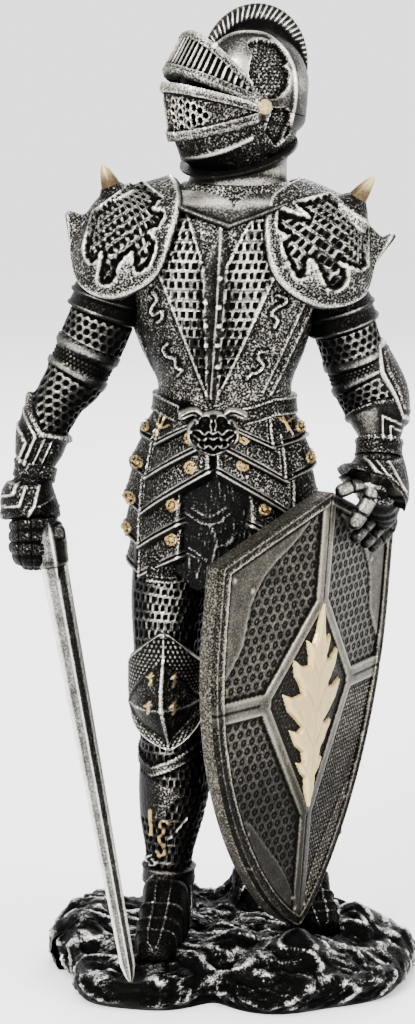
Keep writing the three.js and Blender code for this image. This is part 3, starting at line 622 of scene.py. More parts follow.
@dataclass
class Limb:
    """A body of oval sections.

    Each station, from the lowest up, is x, y, z, half width and half depth in modules and the section's
    turn in degrees. Angle 0 is the front and 90 degrees the figure's left.
    """

    stations: Rows
    ahead: Tuple3 = (0.0, -1.0, 0.0)
    upright: bool = False
    form: Profile | None = None
    path: list[Sequence[float]] = field(init=False)
    size: list[Sequence[float]] = field(init=False)

    def __post_init__(self) -> None:
        """Splits the stations into a path and the sizes along it."""
        self.path = [station[:3] for station in self.stations]
        self.size = [(s[3], s[4], (s[5] if len(s) > 5 else 0) * DEGREE) for s in self.stations]

    def level(self, z: Field | float) -> Field:
        """The share of the limb's length where it passes a height."""
        share = np.linspace(0, 1, 600)
        heights = spline(self.path, share)[:, 2]
        return np.interp(z, heights, share)

    def surface(self, share: Field, angle: Field, out: Field | float = 0.0, shift: Field | float = 0.0,
                inward: Field | float = 1.0) -> Field:
        """Points on the limb.

        Args:
            share: shares of its length.
            angle: angles round it, in radians.
            out: distance off the surface.
            shift: distance along the limb.
            inward: 0 for the limb's middle and 1 for its surface.

        Returns:
            The points.
        """
        t = np.clip(share, 0, 1)
        if self.upright:
            along = np.broadcast_to(np.array([0.0, 0.0, 1.0]), (*np.shape(t), 3))
        else:
            near, far = np.clip(t - 1e-3, 0, 1), np.clip(t + 1e-3, 0, 1)
            along = unit(spline(self.path, far) - spline(self.path, near))
        side = unit(np.cross(along, self.ahead))
        ahead = unit(np.cross(side, along))
        size = spline(self.size, t)
        swell = self.form(angle) if self.form else 1.0
        u = (size[..., 0] * swell + out) * np.sin(angle) * inward
        v = (size[..., 1] * swell + out) * np.cos(angle) * inward
        c, s = np.cos(size[..., 2]), np.sin(size[..., 2])
        shift = np.broadcast_to(shift, u.shape)
        return (spline(self.path, t) + side * (u * c + v * s)[..., None] + ahead * (v * c - u * s)[..., None]
                + along * shift[..., None])

    def tube(self, share: Field, out: Field | float, shift: Field | float = 0.0, step: float = GRAIN) -> Skin:
        """A closed skin round the limb.

        Args:
            share: shares of the limb's length, one for each row from the lowest up.
            out: distance off the limb for each row, or a function of the angle and the share.
            shift: distance along the limb, given in the same way.
            step: distance between the grid's points.

        Returns:
            The skin, with its angle, its share and its distance round the limb as attributes.
        """
        middle = float(np.mean([0.5 * (s[0] + s[1]) for s in self.size]))
        columns = max(24, int(2 * math.pi * (middle + 0.6) / step))
        turn = np.linspace(-math.pi, math.pi, columns + 1)[None, :]
        angle = (turn - 0.3 * np.sin(turn)) * np.ones((len(share) + 2, 1))  # closer columns in front
        inward, spread = shut_ends(angle), by_row(share, angle)

        def given(value: object) -> Field:
            """The value at every point of the grid."""
            if callable(value):
                return value(angle, spread)
            return by_row(value, angle) if np.ndim(value) else value

        skin = Skin(self.surface(spread, angle, given(out), given(shift) * inward, inward))
        skin.angle, skin.share = angle, spread
        skin.girth = angle * spline(self.size, spread)[..., :2].mean(-1)
        return skin

    def skin(self, levels: Rows, step: float = GRAIN, way: Profile = np.sin) -> Skin:
        """The limb between the first and the last level, as a closed skin.

        Args:
            levels: heights from the lowest up, each with how far the skin stands off and how much it leans.
            step: distance between the grid's points.
            way: the share of the lean at each angle.

        Returns:
            The skin, which also has its height before and after leaning as the attributes level and place.
        """
        height = np.linspace(levels[0][0], levels[-1][0], int((levels[-1][0] - levels[0][0]) / step) + 1)
        known = [level[0] for level in levels]
        lean = [level[2] if len(level) > 2 else 0 for level in levels]
        out = np.interp(height, known, [level[1] for level in levels])
        ends = by_row(np.interp(height, known, lean))
        skin = self.tube(self.level(height), out, lambda angle, _: ends * way(angle), step)
        skin.level = by_row(height, skin.angle)
        skin.place = skin.level + ends * way(skin.angle)
        return skin


# Sub-assemblies


@dataclass
class Assembly:
    """What every sub-assembly of the figurine has: the slot of its CAD node, and its pieces."""

    slot: str = "knight_on_rock"
    pieces: list[Piece] = field(default_factory=list)

    def build(self) -> None:
        """Models the pieces."""
        raise NotImplementedError

    def keep(self, *pieces: Piece) -> None:
        """Adds finished pieces."""
        self.pieces.extend(pieces)

    def place(self) -> None:
        """Builds the pieces and hangs them on the frame."""
        self.build()
        for piece in self.pieces:
            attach(piece, "root")
            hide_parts(self.slot)
            LOG.info("%s: %d faces", piece.name, len(piece.data.polygons))


# Shield

# Outline of one half of the emblem, as distances from the keel and up it
EMBLEM: Line = (
    (0.3, 37.5), (2.0, 43), (2.3, 47), (4.2, 48.8), (6.4, 52.4), (3.7, 52.2), (4.4, 55.5), (7.6, 58), (10.6, 63.4),
    (7.2, 62.2), (5.4, 63.4), (8.8, 66.6), (12, 69.4), (14.8, 75.2), (10.4, 73.4), (6.4, 74), (8.2, 77.5), (10.2, 80),
    (11.4, 85.4), (7.6, 82.6), (4.2, 82.4), (4.6, 85.6), (6.0, 90.4), (3.2, 88.6), (1.9, 92), (0.5, 101))


@dataclass
class Shield(Assembly):
    """The keeled shield: a board of two flat halves, each with a carved face."""

    slot: str = "shield"
    tip: Tuple3 = (28.0, -21.0, 21.9)
    peak: Tuple3 = (37.6, -18.5, 156.2)
    yaw: tuple[float, float] = (45.0, 60.4)  # degrees that the two halves face to the figure's left
    half_width: float = 45.0
    wall: float = 6.0
    rim: float = 3.4
    sunk: float = 0.9  # how far the field lies behind the rim
    gable: float = 0.126  # share of the height that the top falls from the keel to the sides
    straight_from: float = 0.7  # share of the height above which the sides run straight up
    lowest: float = 0.002  # share below which the half shield gets no narrower

    def __post_init__(self) -> None:
        """Works out the keel and which way the shield faces."""
        self.foot = np.array(self.tip)
        self.axis = np.array(self.peak) - self.foot
        self.tall = float(np.linalg.norm(self.axis))
        heading = (self.yaw[0] + self.yaw[1]) / 2 * DEGREE
        self.facing = np.array([math.sin(heading), -math.cos(heading), 0.0])

    def reach(self, height: Field) -> Field:
        """Half the shield's width at a share of its height."""
        t = np.clip(np.maximum(self.lowest, height) / self.straight_from, 0, 1)
        return self.half_width * (1 - (1 - t) ** 2) ** 0.75

    def on(self, across: Field, height: Field, out: Field, hand: int) -> Field:
        """Points of one half, by their distance from the keel, their share of the height and how far they stand out."""
        yaw = self.yaw[0 if hand < 0 else 1] * DEGREE
        run = np.array([math.cos(yaw), math.sin(yaw), 0.0])
        return (self.foot + height[..., None] * self.axis + (hand * across)[..., None] * run
                + out[..., None] * self.facing)

    def board(self) -> Piece:
        """The thick board behind the faces, from a divided cube."""
        board = added("shield_board", bpy.ops.mesh.primitive_cube_add, size=1)
        bpy.ops.object.mode_set(mode="EDIT")
        bpy.ops.mesh.subdivide(number_cuts=27)
        bpy.ops.object.mode_set(mode="OBJECT")
        u, v, w = (places_of(board) + 0.5).T
        side = 2 * u - 1
        height = (1 - self.gable * np.abs(side)) * v
        across = np.abs(side) * np.where(v == 0, 0, self.reach(height))
        depth = mix(-self.wall, -self.sunk - 0.85, w)
        edge = np.clip((0.5 - np.abs(w - 0.5)) * 12, 0, 1)
        across = across + 0.35 * edge * ramp(np.abs(side), 0.96, 1)
        both = np.where((side < 0)[:, None], self.on(across, height, depth, -1), self.on(across, height, depth, 1))
        move_to(board, both)
        dress(board, Metal.PEWTER)
        bpy.ops.object.shade_smooth_by_angle(angle=SHARP_BOARD)
        return board

    def emblem(self, hand: int) -> Piece:
        """Half of a leafy flame as a raised sheet of brass whose edge dips under the field.

        Args:
            hand: -1 for the half on the figure's right, 1 for the other.

        Returns:
            The piece.
        """
        up, across = np.mgrid[36.0:103.5:0.42, 0.0:17.0:0.42]
        within = inside(across, up, [(-2, 37.5), *EMBLEM, (-2, 101)])
        leaf = line_distance(across, up, EMBLEM, False) * np.where(within, 1, -1)
        vein = line_distance(across, up, [(0, 40), (0, 100)], False)
        for i in range(4):
            branch = [(0.5, 46 + 11 * i), (4.5, 52 + 11 * i), (8 + 1.5 * (i == 2), 60.5 + 8.5 * i)]
            vein = np.minimum(vein, line_distance(across, up, branch))
        relief = mix(-2.2, 0.55, ramp(leaf, -0.35, 0.15)) + 0.5 * ramp(leaf, 0, 0.8) - 0.35 * bump(vein, 0, 0.5)
        skin = Skin(self.on(across, up / self.tall, 0 * up, hand)[:, ::hand], wraps=False)
        skin.out = np.broadcast_to(self.facing, skin.points.shape)
        skin.relief = relief[:, ::hand] - 0.35
        skin.base = np.full_like(relief, 0.62)
        return skin.build(f"shield_emblem_{SIDES[hand]}", Metal.BRASS, 0.5, 3, back=-1.0 * self.facing)

    def face(self, hand: int) -> Piece:
        """One carved half of the front.

        Args:
            hand: -1 for the half on the figure's right, 1 for the other.

        Returns:
            The piece.
        """
        step = 0.455
        columns = int(self.half_width / step)
        rows = int(self.tall / step)
        v, u = np.mgrid[0:1:rows * 1j, 0:1:columns * 1j]
        height = v * (1 - self.gable * u)
        across = u * np.where(v == 0, 0, self.reach(height))
        up = height * self.tall
        edge = self.edge_distance(across, height, u)
        rim = ramp(edge, self.rim + 0.3, self.rim - 0.2)
        bars, grooves = self.straps(across, up)
        inner = (1 - rim) * (1 - bars)
        panel = self.corner_plates(across, up)
        diamond = inside(across, up, self.diamond).astype(float)
        rings = punched_rings(across, up)
        grains = np.random.default_rng(3 + hand).normal(size=u.shape)
        relief = -self.sunk * (1 - rim) + (self.sunk - 0.15) * bars * (1 - rim) - 0.35 * grooves
        fine = float(hand > 0) * ramp(up, 78, 72)
        ringed = inner * (1 - panel) * (1 - diamond) * (1 - fine)
        relief -= 0.42 * rings * ringed
        relief += 0.4 * panel * inner - 0.3 * bump(edge, self.rim + 0.5, 0.35) * (1 - bars)
        relief += 0.4 * bump(edge, 0.4, 0.4) + 0.4 * bump(edge, self.rim - 0.3, 0.35) - 0.1 * rim
        relief += (1 - pierced(across, up, 1.5, 0.45)) * mix(0.45 * fine, 0.22, diamond) * inner
        relief += 0.07 * grains * rim * ramp(edge, 0.4, 0.9)
        for rivet in ((31.4, 109.2), (39.3, 113.3), (25.6, 34.2), (24.0, 23.3), (3.5, 9.5), (2.6, 6.0)):
            relief += 0.6 * bump(np.hypot(across - rivet[0], up - rivet[1]), 0, 0.7)
        base = (0.38 + 0.12 * bars - 0.08 * rim
                + 0.1 * panel + 0.06 * fine * inner * (1 - diamond) - 0.06 * ramp(up, 60, 40))
        light = (1 - (0.3 * diamond + 0.05 * fine) * inner) * (1 - 0.2 * ramp(up, 70, 40))
        pits = np.clip(0.35 + 0.65 * (rim + diamond + fine) * (1 - bars) + 0.15 * ringed, 0, 1)
        skin = Skin(self.on(across, height, 0 * u, hand)[:, ::hand], wraps=False)
        skin.out = np.broadcast_to(self.facing, skin.points.shape)
        skin.relief, skin.base, skin.light, skin.pits = (values[:, ::hand] for values in (relief, base, light, pits))
        return skin.build(f"shield_face_{SIDES[hand]}", Metal.PEWTER, 1.3, 5, back=-(self.sunk + 0.9) * self.facing)

    def edge_distance(self, across: Field, height: Field, u: Field) -> Field:
        """How far each point is from the outline of its half, the keel left out."""
        side = self.reach(height) - across
        slope = np.gradient(self.reach(height), axis=0)
        slope = slope / np.maximum(np.gradient(height * self.tall, axis=0), 1e-6)
        top = (1 - self.gable * u - height) * self.tall
        return np.minimum(side / np.sqrt(1 + slope ** 2), top)

    @property
    def diamond(self) -> list[tuple[float, float]]:
        """The diamond between the straps, from its top, in modules."""
        return [(-1.0, 103.0), (0.0, 103.0), (23.0, 73.5), (0.0, 34.0), (-1.0, 34.0)]

    def straps(self, across: Field, up: Field) -> tuple[Field, Field]:
        """The raised straps.

        Args:
            across: distance from the keel.
            up: distance up the keel.

        Returns:
            The straps' mask and the mask of the grooves between double straps.
        """
        _, top, corner, foot, _ = self.diamond
        away = line_distance(across, up, [top, corner, foot], False)
        bars = ramp(away, 2.1, 1.6)
        level = line_distance(across, up, [corner, (self.half_width + 3, corner[1])], False)
        bars = np.maximum(bars, ramp(level, 3.5, 3.0))
        grooves = bump(level, 0, 0.35) * ramp(away, 1.5, 2.2)
        ends = np.maximum(ramp(up, top[1] - 3, top[1]), ramp(up, foot[1] + 3, foot[1]))
        bars = np.maximum(bars, ramp(across, 3.3, 2.8) * ends)
        return bars, np.maximum(grooves, bump(across, 0, 0.35) * ends)

    def corner_plates(self, across: Field, up: Field) -> Field:
        """1 on the smooth corner plates with their curved edges."""
        tall, wide = self.tall, self.half_width + 4
        upper = spline([(8, 127), (14, 121.5), (25, 114), (31, 105), (33.5, 93), (41, 82)], np.linspace(0, 1, 24))
        lower = spline([(31, 39), (26, 38.5), (18, 30), (10.5, 22), (5, 14), (1, 6)], np.linspace(0, 1, 24))
        upper = inside(across, up, [*upper, (wide, 82), (wide, tall + 4), (8, tall + 4)])
        lower = inside(across, up, [*lower, (1, -4), (wide, -4), (wide, 39)])
        return blurred((upper | lower).astype(float), 1, False)

    def build(self) -> None:
        """Models the board and both faces."""
        self.keep(self.board(), self.face(-1), self.face(1), self.emblem(-1), self.emblem(1))


# Sword


@dataclass
class Sword(Assembly):
    """The long sword that stands on its point."""

    slot: str = "sword"
    top: Tuple3 = (-48.2, -15.5, 146.0)
    guard: Tuple3 = (-46.2, -16.0, 133.6)
    tip: Tuple3 = (-23.2, -34.0, 8.4)
    width: float = 8.0
    thickness: float = 4.2

    def __post_init__(self) -> None:
        """Works out the sword's own directions."""
        self.axis = unit(np.array(self.guard) - np.array(self.tip))
        self.across = unit(np.cross(self.axis, (0.25, -1.0, 0.0)))
        self.face = np.cross(self.across, self.axis)

    def form(self, from_: Tuple3, to: Tuple3, half: Field, thick: Field, power: float, name: str,
             relief: Callable[[Field, Field], Field]) -> Piece:
        """A straight form with a ridge along its middle.

        Args:
            from_: its lower end.
            to: its upper end.
            half: half widths of the rows.
            thick: half thicknesses of the rows.
            power: 1 for a section with four straight sides, more for a fuller one.
            name: the piece's name.
            relief: carving as a function of the angle and the share of the length.

        Returns:
            The piece.
        """
        columns = 40
        angle = np.linspace(-math.pi, math.pi, columns + 1)[None, :] * np.ones((len(half) + 2, 1))
        share = by_row(np.linspace(0, 1, len(half)), angle)
        size = (np.abs(np.sin(angle)) ** power + np.abs(np.cos(angle)) ** power) ** (-1 / power) * shut_ends(angle)
        middle = np.array(from_) + share[..., None] * (np.array(to) - np.array(from_))
        points = middle + (size * np.sin(angle) * by_row(half))[..., None] * self.across
        points = points + (size * np.cos(angle) * by_row(thick))[..., None] * self.face
        skin = Skin(points)
        skin.angle, skin.share = angle, share
        skin.relief = relief(angle, share)
        skin.grain(0.03)
        # Painted light: a highlight down the ridge and along the edges, and the half on the figure's right lighter than
        # the other.
        skin.base = (0.3 + 0.5 * bump(np.abs(angle), 0, 0.12)
                     + 0.16 * ramp(-np.sin(angle), 0.05, 0.3) + 0.3 * bump(np.abs(np.sin(angle)), 1, 0.08))
        return skin.build(name, Metal.BLADE, 1.6)

    def build(self) -> None:
        """Models the blade, the rain guard and the grip block."""
        share = np.linspace(0, 1, 220)
        taper = np.interp(share, [0, 0.012, 0.04, 1], [0.06, 0.3, 0.53, 1])
        blade = self.form(self.tip, self.guard, self.width / 2 * taper, self.thickness / 2 * taper, 1.0,
                          "sword_blade", lambda a, v: 0.12 * bump(np.abs(np.sin(a)), 1, 0.12))
        low = np.array(self.guard) - 6.0 * self.axis
        rain = self.form(
            low, np.array(self.guard) + 1.5 * self.axis, np.linspace(0.4, 4.6, 24), np.linspace(2.0, 3.1, 24), 1.3,
            "sword_rain_guard", lambda a, v: 0.3 * bump(v, 0.86, 0.08))
        up = np.linspace(0, 1, 40)
        half = np.interp(up, [0, 0.1, 0.5, 0.74, 1], [3.4, 4.6, 5.1, 5.2, 0.8])
        block = self.form(
            np.array(self.guard) - 0.6 * self.axis, np.array(self.top) + 0.4 * self.axis, half,
            np.interp(up, [0, 0.1, 0.8, 1], [3.4, 4.5, 4.5, 2.6]), 1.15, "sword_grip_block",
            lambda a, v: 0.35 * bump(v, 0.05, 0.05) + 0.2 * bump(np.abs(a), 0, 0.12))
        self.keep(blade, rain, block)


# Ground


def ridged(x: Field, y: Field, z: Field, size: float, seed: float) -> Field:
    """Ridged noise from warped waves, 0 in the cracks and 1 on the ridges.

    Args:
        x: first coordinate.
        y: second coordinate.
        z: third coordinate.
        size: distance between two ridges.
        seed: shifts the noise.

    Returns:
        The noise.
    """
    k = 2 * math.pi / size
    total, weight = 0.0, 0.0
    for octave in range(3):
        f = k * 1.9 ** octave * 0.5
        wx = x + 0.25 * size * np.sin(1.3 * f * y + seed + octave) + 0.2 * size * np.sin(0.9 * f * z)
        wy = y + 0.25 * size * np.sin(1.1 * f * x + 2 * seed + octave)
        wave = np.sin(f * wx + seed) + np.sin(f * (0.6 * wx + 0.8 * wy) + 2.1 * seed) + np.sin(f * (z * 1.4 - wy))
        share = 0.55 ** octave
        total = total + share * (1 - np.abs(wave) / 2.2)
        weight += share
    return np.clip(total / weight, 0, 1)


@dataclass
class Ground(Assembly):
    """The rocky ground under the boots."""

    centre: tuple[float, float] = (6.8, 0.0)
    length: float = 113.0
    depth: float = 78.0
    level: float = 14.0
    boulders: tuple[tuple[float, float, float, float], ...] = (  # x, y, radius and rise of each
        (-40, 4, 9, 7), (-36, 24, 12, 7), (12, 24, 9, 12), (46, 2, 9, 9), (30, 26, 13, 8), (59, -2, 6, 4),
        (10, -18, 8, 5), (-10, 28, 9, 9))

    def reach(self, angle: Field) -> Field:
        """How far the rock reaches in a direction."""
        c, s = np.abs(np.cos(angle)) / (self.length / 2), np.abs(np.sin(angle)) / (self.depth / 2)
        notch = 0.2 * bump(angle, -101 * DEGREE, 13 * DEGREE) + 0.1 * bump(angle, -163 * DEGREE, 16 * DEGREE)
        lobes = 0.025 * np.sin(5 * angle + 1) + 0.02 * np.sin(9 * angle)
        return (c ** 2.6 + s ** 2.6) ** (-1 / 2.6) * (1 - notch + lobes)

    def top(self, x: Field, y: Field, share: Field) -> Field:
        """The rock's height at a place."""
        height = self.level * (1 - 0.3 * ramp(share, 0.55, 1)) + 1.1 * np.sin(0.31 * x) * np.cos(0.37 * y + 1)
        for bx, by, reach, rise in self.boulders:
            height = height + rise * bump(np.hypot(x - bx, y - by), 0, reach)
        for (sx, sy), z in (((28, -21), 21.5), ((-23.2, -34), 8.0)):
            height = mix(height, z, bump(np.hypot(x - sx, y - sy), 0, 7))
        for bx, by in ((-14, -12), (32, 0)):
            height = mix(height, self.level + 1, bump(np.hypot((x - bx) * 1.3, y - by), 0, 13))
        return height

    def build(self) -> None:
        """Models the rock with its strata."""
        step = 0.9
        tops = np.linspace(0, 0.97, int(56 / step))
        walls = np.array([(1.0, 0.86), (1.015, 0.7), (1.02, 0.52), (1.012, 0.36), (1, 0.2), (0.985, 0.08), (0.97, 0)])
        fine = np.linspace(0, 1, 22)
        wall = np.stack([np.interp(fine, np.linspace(0, 1, len(walls)), walls[:, k]) for k in (0, 1)], 1)
        profile = np.vstack([[[s, 1]] for s in tops] + [wall, [[0, 0]]])
        angle = np.linspace(-math.pi, math.pi, int(300 / step) + 1)[None, :] * np.ones((len(profile), 1))
        share, level = (profile[:, k][:, None] * np.ones_like(angle) for k in (0, 1))
        reach = self.reach(angle) * share
        x, y = self.centre[0] + reach * np.cos(angle), self.centre[1] + reach * np.sin(angle)
        z = np.where(level > 0, self.top(x, y, share) * level, 0)
        points = np.stack([x, y, z], -1)[::-1]
        skin = Skin(points)
        x, y, z = skin.x, skin.y, skin.z
        strata = ridged(x * 0.55 + 0.5 * y, y * 1.2, z * 1.6, 12, 1.7)
        cracks = ridged(x, y, z, 6.5, 4.1)
        keep = np.ones_like(x)
        for sx, sy, radius in ((28, -21, 5), (-23.2, -34, 4)):
            keep = keep * ramp(np.hypot(x - sx, y - sy), radius * 0.5, radius * 1.6)
        body = ramp(z, 0.2, 3) * keep
        skin.carve(strata - 0.6, 3.2, body)
        skin.carve(cracks - 0.5, 1.3, body)
        skin.grain(0.12, body)
        skin.base = 0.2 + 0.34 * ramp(strata, 0.5, 0.95)
        self.keep(skin.build("rocky_ground", Metal.ROCK, 0.55, 4))


# Legs


# Heights up the leg, each with how far the skin stands off the limb
LEG_LEVELS = (
    (25, 0), (30, 0.2), (30.2, 1.1), (34.5, 1.1), (34.7, 0.2), (44, 0.4), (56, 0.5), (92, 0), (118, 0), (142, 0))


@dataclass
class Legs(Assembly):
    """Both legs with their knee cops and boots."""

    right: Limb = field(default_factory=lambda: Limb((
        (-12.4, 1, 24, 6.4, 8), (-12, 1, 37, 6.3, 7.4), (-11.2, 1.5, 50, 8.7, 9), (-10.2, 1.5, 62, 10, 10.4),
        (-10.8, 0.5, 77, 9.4, 9.8), (-12.6, -1.5, 91, 9.4, 9.6), (-12.2, -1.5, 104, 9.8, 10.2),
        (-11.5, 0, 120, 11.2, 11.6), (-8.5, 0, 142, 13, 13))))
    left: Limb = field(default_factory=lambda: Limb((
        (29, 5, 22, 6.4, 8), (28, 6, 37, 6.3, 7.4), (26, 7, 50, 8.6, 9), (25, 6.5, 62, 9.6, 10),
        (24.5, 4.5, 77, 9.2, 9.6), (24.5, 2.5, 91, 9.4, 9.6), (23.5, 2, 104, 9.8, 10.2),
        (21.5, 1.5, 120, 11.2, 11.6), (18, 1, 142, 13, 13))))

    def leg(self, name: str, limb: Limb, hand: int) -> Piece:
        """The mail leg with its greave and straps.

        Args:
            name: the piece's name.
            limb: the leg's form.
            hand: -1 for the figure's right leg, 1 for the left.

        Returns:
            The piece.
        """
        skin = limb.skin(LEG_LEVELS, 0.53 if hand < 0 else 0.8)
        level, turn = skin.level, skin.angle * -hand
        greave = ramp(level, 36, 38) * ramp(level, 70, 68) * ramp(turn, -1.15, -1.3) * ramp(turn, -2.5, -2.3)
        if hand < 0:
            shin = inside(skin.x, skin.z, [(-24, 66), (-17.3, 65), (-13.4, 62.9), (-6.5, 60.2), (-10.7, 57.6),
                                           (-12.4, 55), (-12.9, 52.6), (-15, 51), (-24, 51)])
            greave = np.maximum(greave, blurred(shin * skin.front(-0.3, 0), 1, True))
        guard = ramp(level, 92, 94) * ramp(np.abs(turn + 1.5), 0.4, 0.3)
        cross = np.abs(level - np.minimum(67.6 + 4.8 * np.abs(turn + 0.68), 79.3))
        ankle = np.abs(level - 32.3)
        plain = np.clip(greave + guard + ramp(cross, 2.1, 1.7) + ramp(ankle, 2.3, 2.0), 0, 1)
        skin.carve(mail(skin.girth, level, 2.0, 2.85, 0.8), 0.9, 1 - plain)
        skin.carve(plain, 0.8)
        skin.carve(ramp(cross, 2.0, 1.6) + 0.5 * bump(cross, 1.5, 0.35) + bump(ankle, 1.8, 0.35), 0.5)
        skin.grain(0.09, plain)
        skin.base = 0.5 + 0.08 * plain
        # Painted light and shade: lit down the front, darker round the sides and lower down, an even 0.8 behind.
        front = (0.36 + 0.6 * bump(turn, -0.2, 0.62)) * mix(0.85, 1, ramp(level, 70, 80))
        skin.light = mix(0.8, front, ramp(np.cos(turn), -0.5, 0.2))
        if hand < 0:
            face = skin.front()
            skin.raise_line([(-6, 53.1), (-11.9, 45.2)], 0.6, 0.4, face, 0, False)
            skin.raise_line([(-11.5, 50.3), (-13.4, 51.3), (-14.6, 50.1), (-13.4, 47.9), (-14.8, 45.4), (-13.4, 42.9),
                             (-13.2, 40.5), (-14.6, 39.5), (-15.3, 41.0)], 0.75, 0.9, face, 1)
            skin.raise_line([(-16.9, 39.2), (-18.2, 37.4), (-16.7, 35.9), (-15.4, 37.3), (-16.7, 38.1)], 0.8, 1.0, face)
            skin.raise_line([(-17.2, 54.1), (-17.1, 46)], 1.0, 0.5, 1, 1)
        return skin.build(name, Metal.SILVER, 1.2)

    def knee(self, name: str, limb: Limb) -> Piece:
        """A knee cop with a four-sided point.

        Args:
            name: the piece's name.
            limb: the leg that it lies on.

        Returns:
            The piece.
        """
        v, u = np.mgrid[0:1:86j, 0:1:70j]
        half = np.minimum(np.minimum(mix(0.1, 1.42, v / 0.27), 1.42), mix(1.42, 0.1, (v - 0.72) / 0.28))
        corner = np.abs(2 * u - 1) + np.abs(v - 0.4) * 2.2
        out = 2 + 4.4 * np.clip(1 - 1.15 * corner, 0, 1) + 1.0 * bump(corner, 0.84, 0.05)
        points = limb.surface(mix(limb.level(76), limb.level(110.5), v), mix(-1, 1, u) * half - 6 * DEGREE, out)
        skin = Skin(points, wraps=False)
        across, border = (u - 0.5) * 2 * half * 11, ramp(corner, 0.86, 0.92)
        rim = np.minimum(np.minimum(u, 1 - u) * 2 * half * 10, np.minimum(v, 1 - v) * 34)
        skin.carve(bump(rim, 0.5, 0.45), 0.6)
        skin.carve(1 - pierced(across, v * 34.5, 1.35, 0.44), 0.5, border * ramp(rim, 0.9, 1.2))
        ridge = bump(across, 0, 0.36) + 0.5 * bump(v, 0.4, 0.01) * ramp(corner, 0.86, 0.8)
        skin.carve(ridge, 0.5)
        skin.grain(0.06, 1 - border)
        skin.base = 0.42 + 0.26 * ridge + 0.12 * bump(rim, 0.5, 0.5) + 0.1 * border * ramp(v, 0.4, 0.3)
        middle = points[int(0.4 * len(v)), 35]
        for dx, dz in ((-3.7, 9.4), (3.6, 9.2), (-4.3, 0.6), (3.4, 0.8)):
            x, z = middle[0] + dx, middle[2] + dz
            skin.raise_line(
                [(x + 0.5, z + 1.9), (x - 0.3, z + 0.7), (x + 0.3, z - 0.5), (x - 0.2, z - 1.8)], 0.55, 0.5, 1, 1)
            skin.raise_line([(x - 1.0, z + 0.5), (x + 1.0, z + 0.9)], 0.5, 0.5, 1, 1)
        return skin.build(name, Metal.SILVER, 1.0, back=(0, 4, 0))

    def boot(self, name: str, heel: tuple[float, float], toe: tuple[float, float]) -> Piece:
        """A boot of overlapping lames.

        Args:
            name: the piece's name.
            heel: its heel's place.
            toe: its toe's place.

        Returns:
            The piece.
        """
        run = np.array(toe) - np.array(heel)
        form = ((-0.08, 6, 2.6, 4), (0.1, 8.4, 5.6, 8.4), (0.36, 9.0, 6.0, 9.2), (0.62, 6.0, 5.8, 6.6),
                (0.84, 3.9, 5.4, 4.5), (1, 2.8, 4.5, 3))
        limb = Limb([(*(np.array(heel) + share * run), 14 + z, w, d) for share, z, w, d in form], ahead=(0, 0, 1),
                    form=lambda a: (np.abs(np.sin(a)) ** 5 + np.abs(np.cos(a)) ** 5) ** -0.2)
        share = np.linspace(0, 1, 92)
        lames = (0.42, 0.57, 0.71, 0.85)
        out = 0.1 * np.ones_like(share)
        for edge in lames:
            out = out + 1.1 * ramp(share, edge - 0.012, edge + 0.004) * np.clip(1 - (share - edge) / 0.14, 0, 1)
        skin = limb.tube(share, out)
        for edge in lames:
            skin.carve(bump(skin.share, edge + 0.012, 0.01), 0.35)
        skin.carve(bump(np.abs(skin.angle), 0.34, 0.045), 0.5, ramp(skin.share, 0.4, 0.5))
        strap = skin.share - 0.32 - 0.05 * np.sin(skin.angle)
        skin.carve(ramp(np.abs(strap), 0.06, 0.045), 0.8)
        skin.carve(bump(np.abs(strap), 0.05, 0.01), 0.5)
        skin.grain(0.1)
        keel = bump(np.abs(skin.angle), 0.34, 0.05) * ramp(skin.share, 0.4, 0.5)
        skin.base = 0.24 + 0.26 * bump(np.abs(strap), 0.05, 0.012) + 0.25 * keel
        for edge in lames:
            skin.base = skin.base + 0.16 * bump(skin.share, edge + 0.012, 0.01)
        skin.light = np.full_like(skin.relief, 0.75)
        return skin.build(name, Metal.SILVER, 0.9)

    def build(self) -> None:
        """Models both legs."""
        for side, limb, hand, heel, toe in (
                ("right", self.right, -1, (-10.5, 7), (-16.4, -30)), ("left", self.left, 1, (28, 13), (35.6, -10))):
            self.keep(self.leg(f"leg_{side}", limb, hand), self.knee(f"knee_cop_{side}", limb),
                      self.boot(f"boot_{side}", heel, toe))


# Hips

# Creases of the loincloth
CLOTH_CREASES: Lines = (
    [(-6.6, 149.6), (-3, 147.2), (0.8, 146.2)], [(0.8, 146.2), (4, 147.4), (6.4, 149.8)],
    [(-4.6, 151.0), (-1.4, 149.2), (0.8, 148.8), (5.6, 151.6)], [(0.9, 146.4), (2.6, 141.5), (1.6, 136), (0.8, 130)],
    [(8.8, 144.2), (6.2, 141.0), (3.2, 139.6)], [(8.2, 142.2), (5.6, 139.4)],
    [(-5.6, 138.8), (-3.2, 137.4), (0.0, 135.0)], [(-4.8, 136.6), (-2.2, 134.6), (-3.4, 129.5)],
    [(-5.8, 137.0), (-5.2, 131.4)])

# Brows, horns, lips and fangs of one half of the belt's mask, from its middle
MASK_LINES: Lines = (
    [(0.5, 178.2), (1.8, 179.9), (3.6, 179.2), (5.0, 177.2)], [(3.2, 180.2), (5.2, 181.3), (7.6, 180.7), (9.8, 179.4)],
    [(4.4, 177.6), (6.0, 178.8), (8.6, 178.6)], [(0, 174.6), (1.4, 175.2), (2.6, 174.2), (4.2, 175.4), (6.6, 175.0)],
    [(0, 172.7), (1.6, 173.5), (3.2, 172.5), (5.2, 173.5), (6.9, 174.6), (7.4, 172.8), (5.2, 170.4)],
    [(0, 169.6), (1.3, 170.9), (2.8, 170.0), (4.6, 170.9), (6.0, 172.4)], [(0, 167.9), (1.8, 168.4), (3.8, 169.4)],
    [(2.3, 172.8), (2.6, 171.0)], [(4.2, 172.9), (4.2, 171.4)], [(0.2, 179.0), (0.9, 177.2), (0.5, 175.8)])


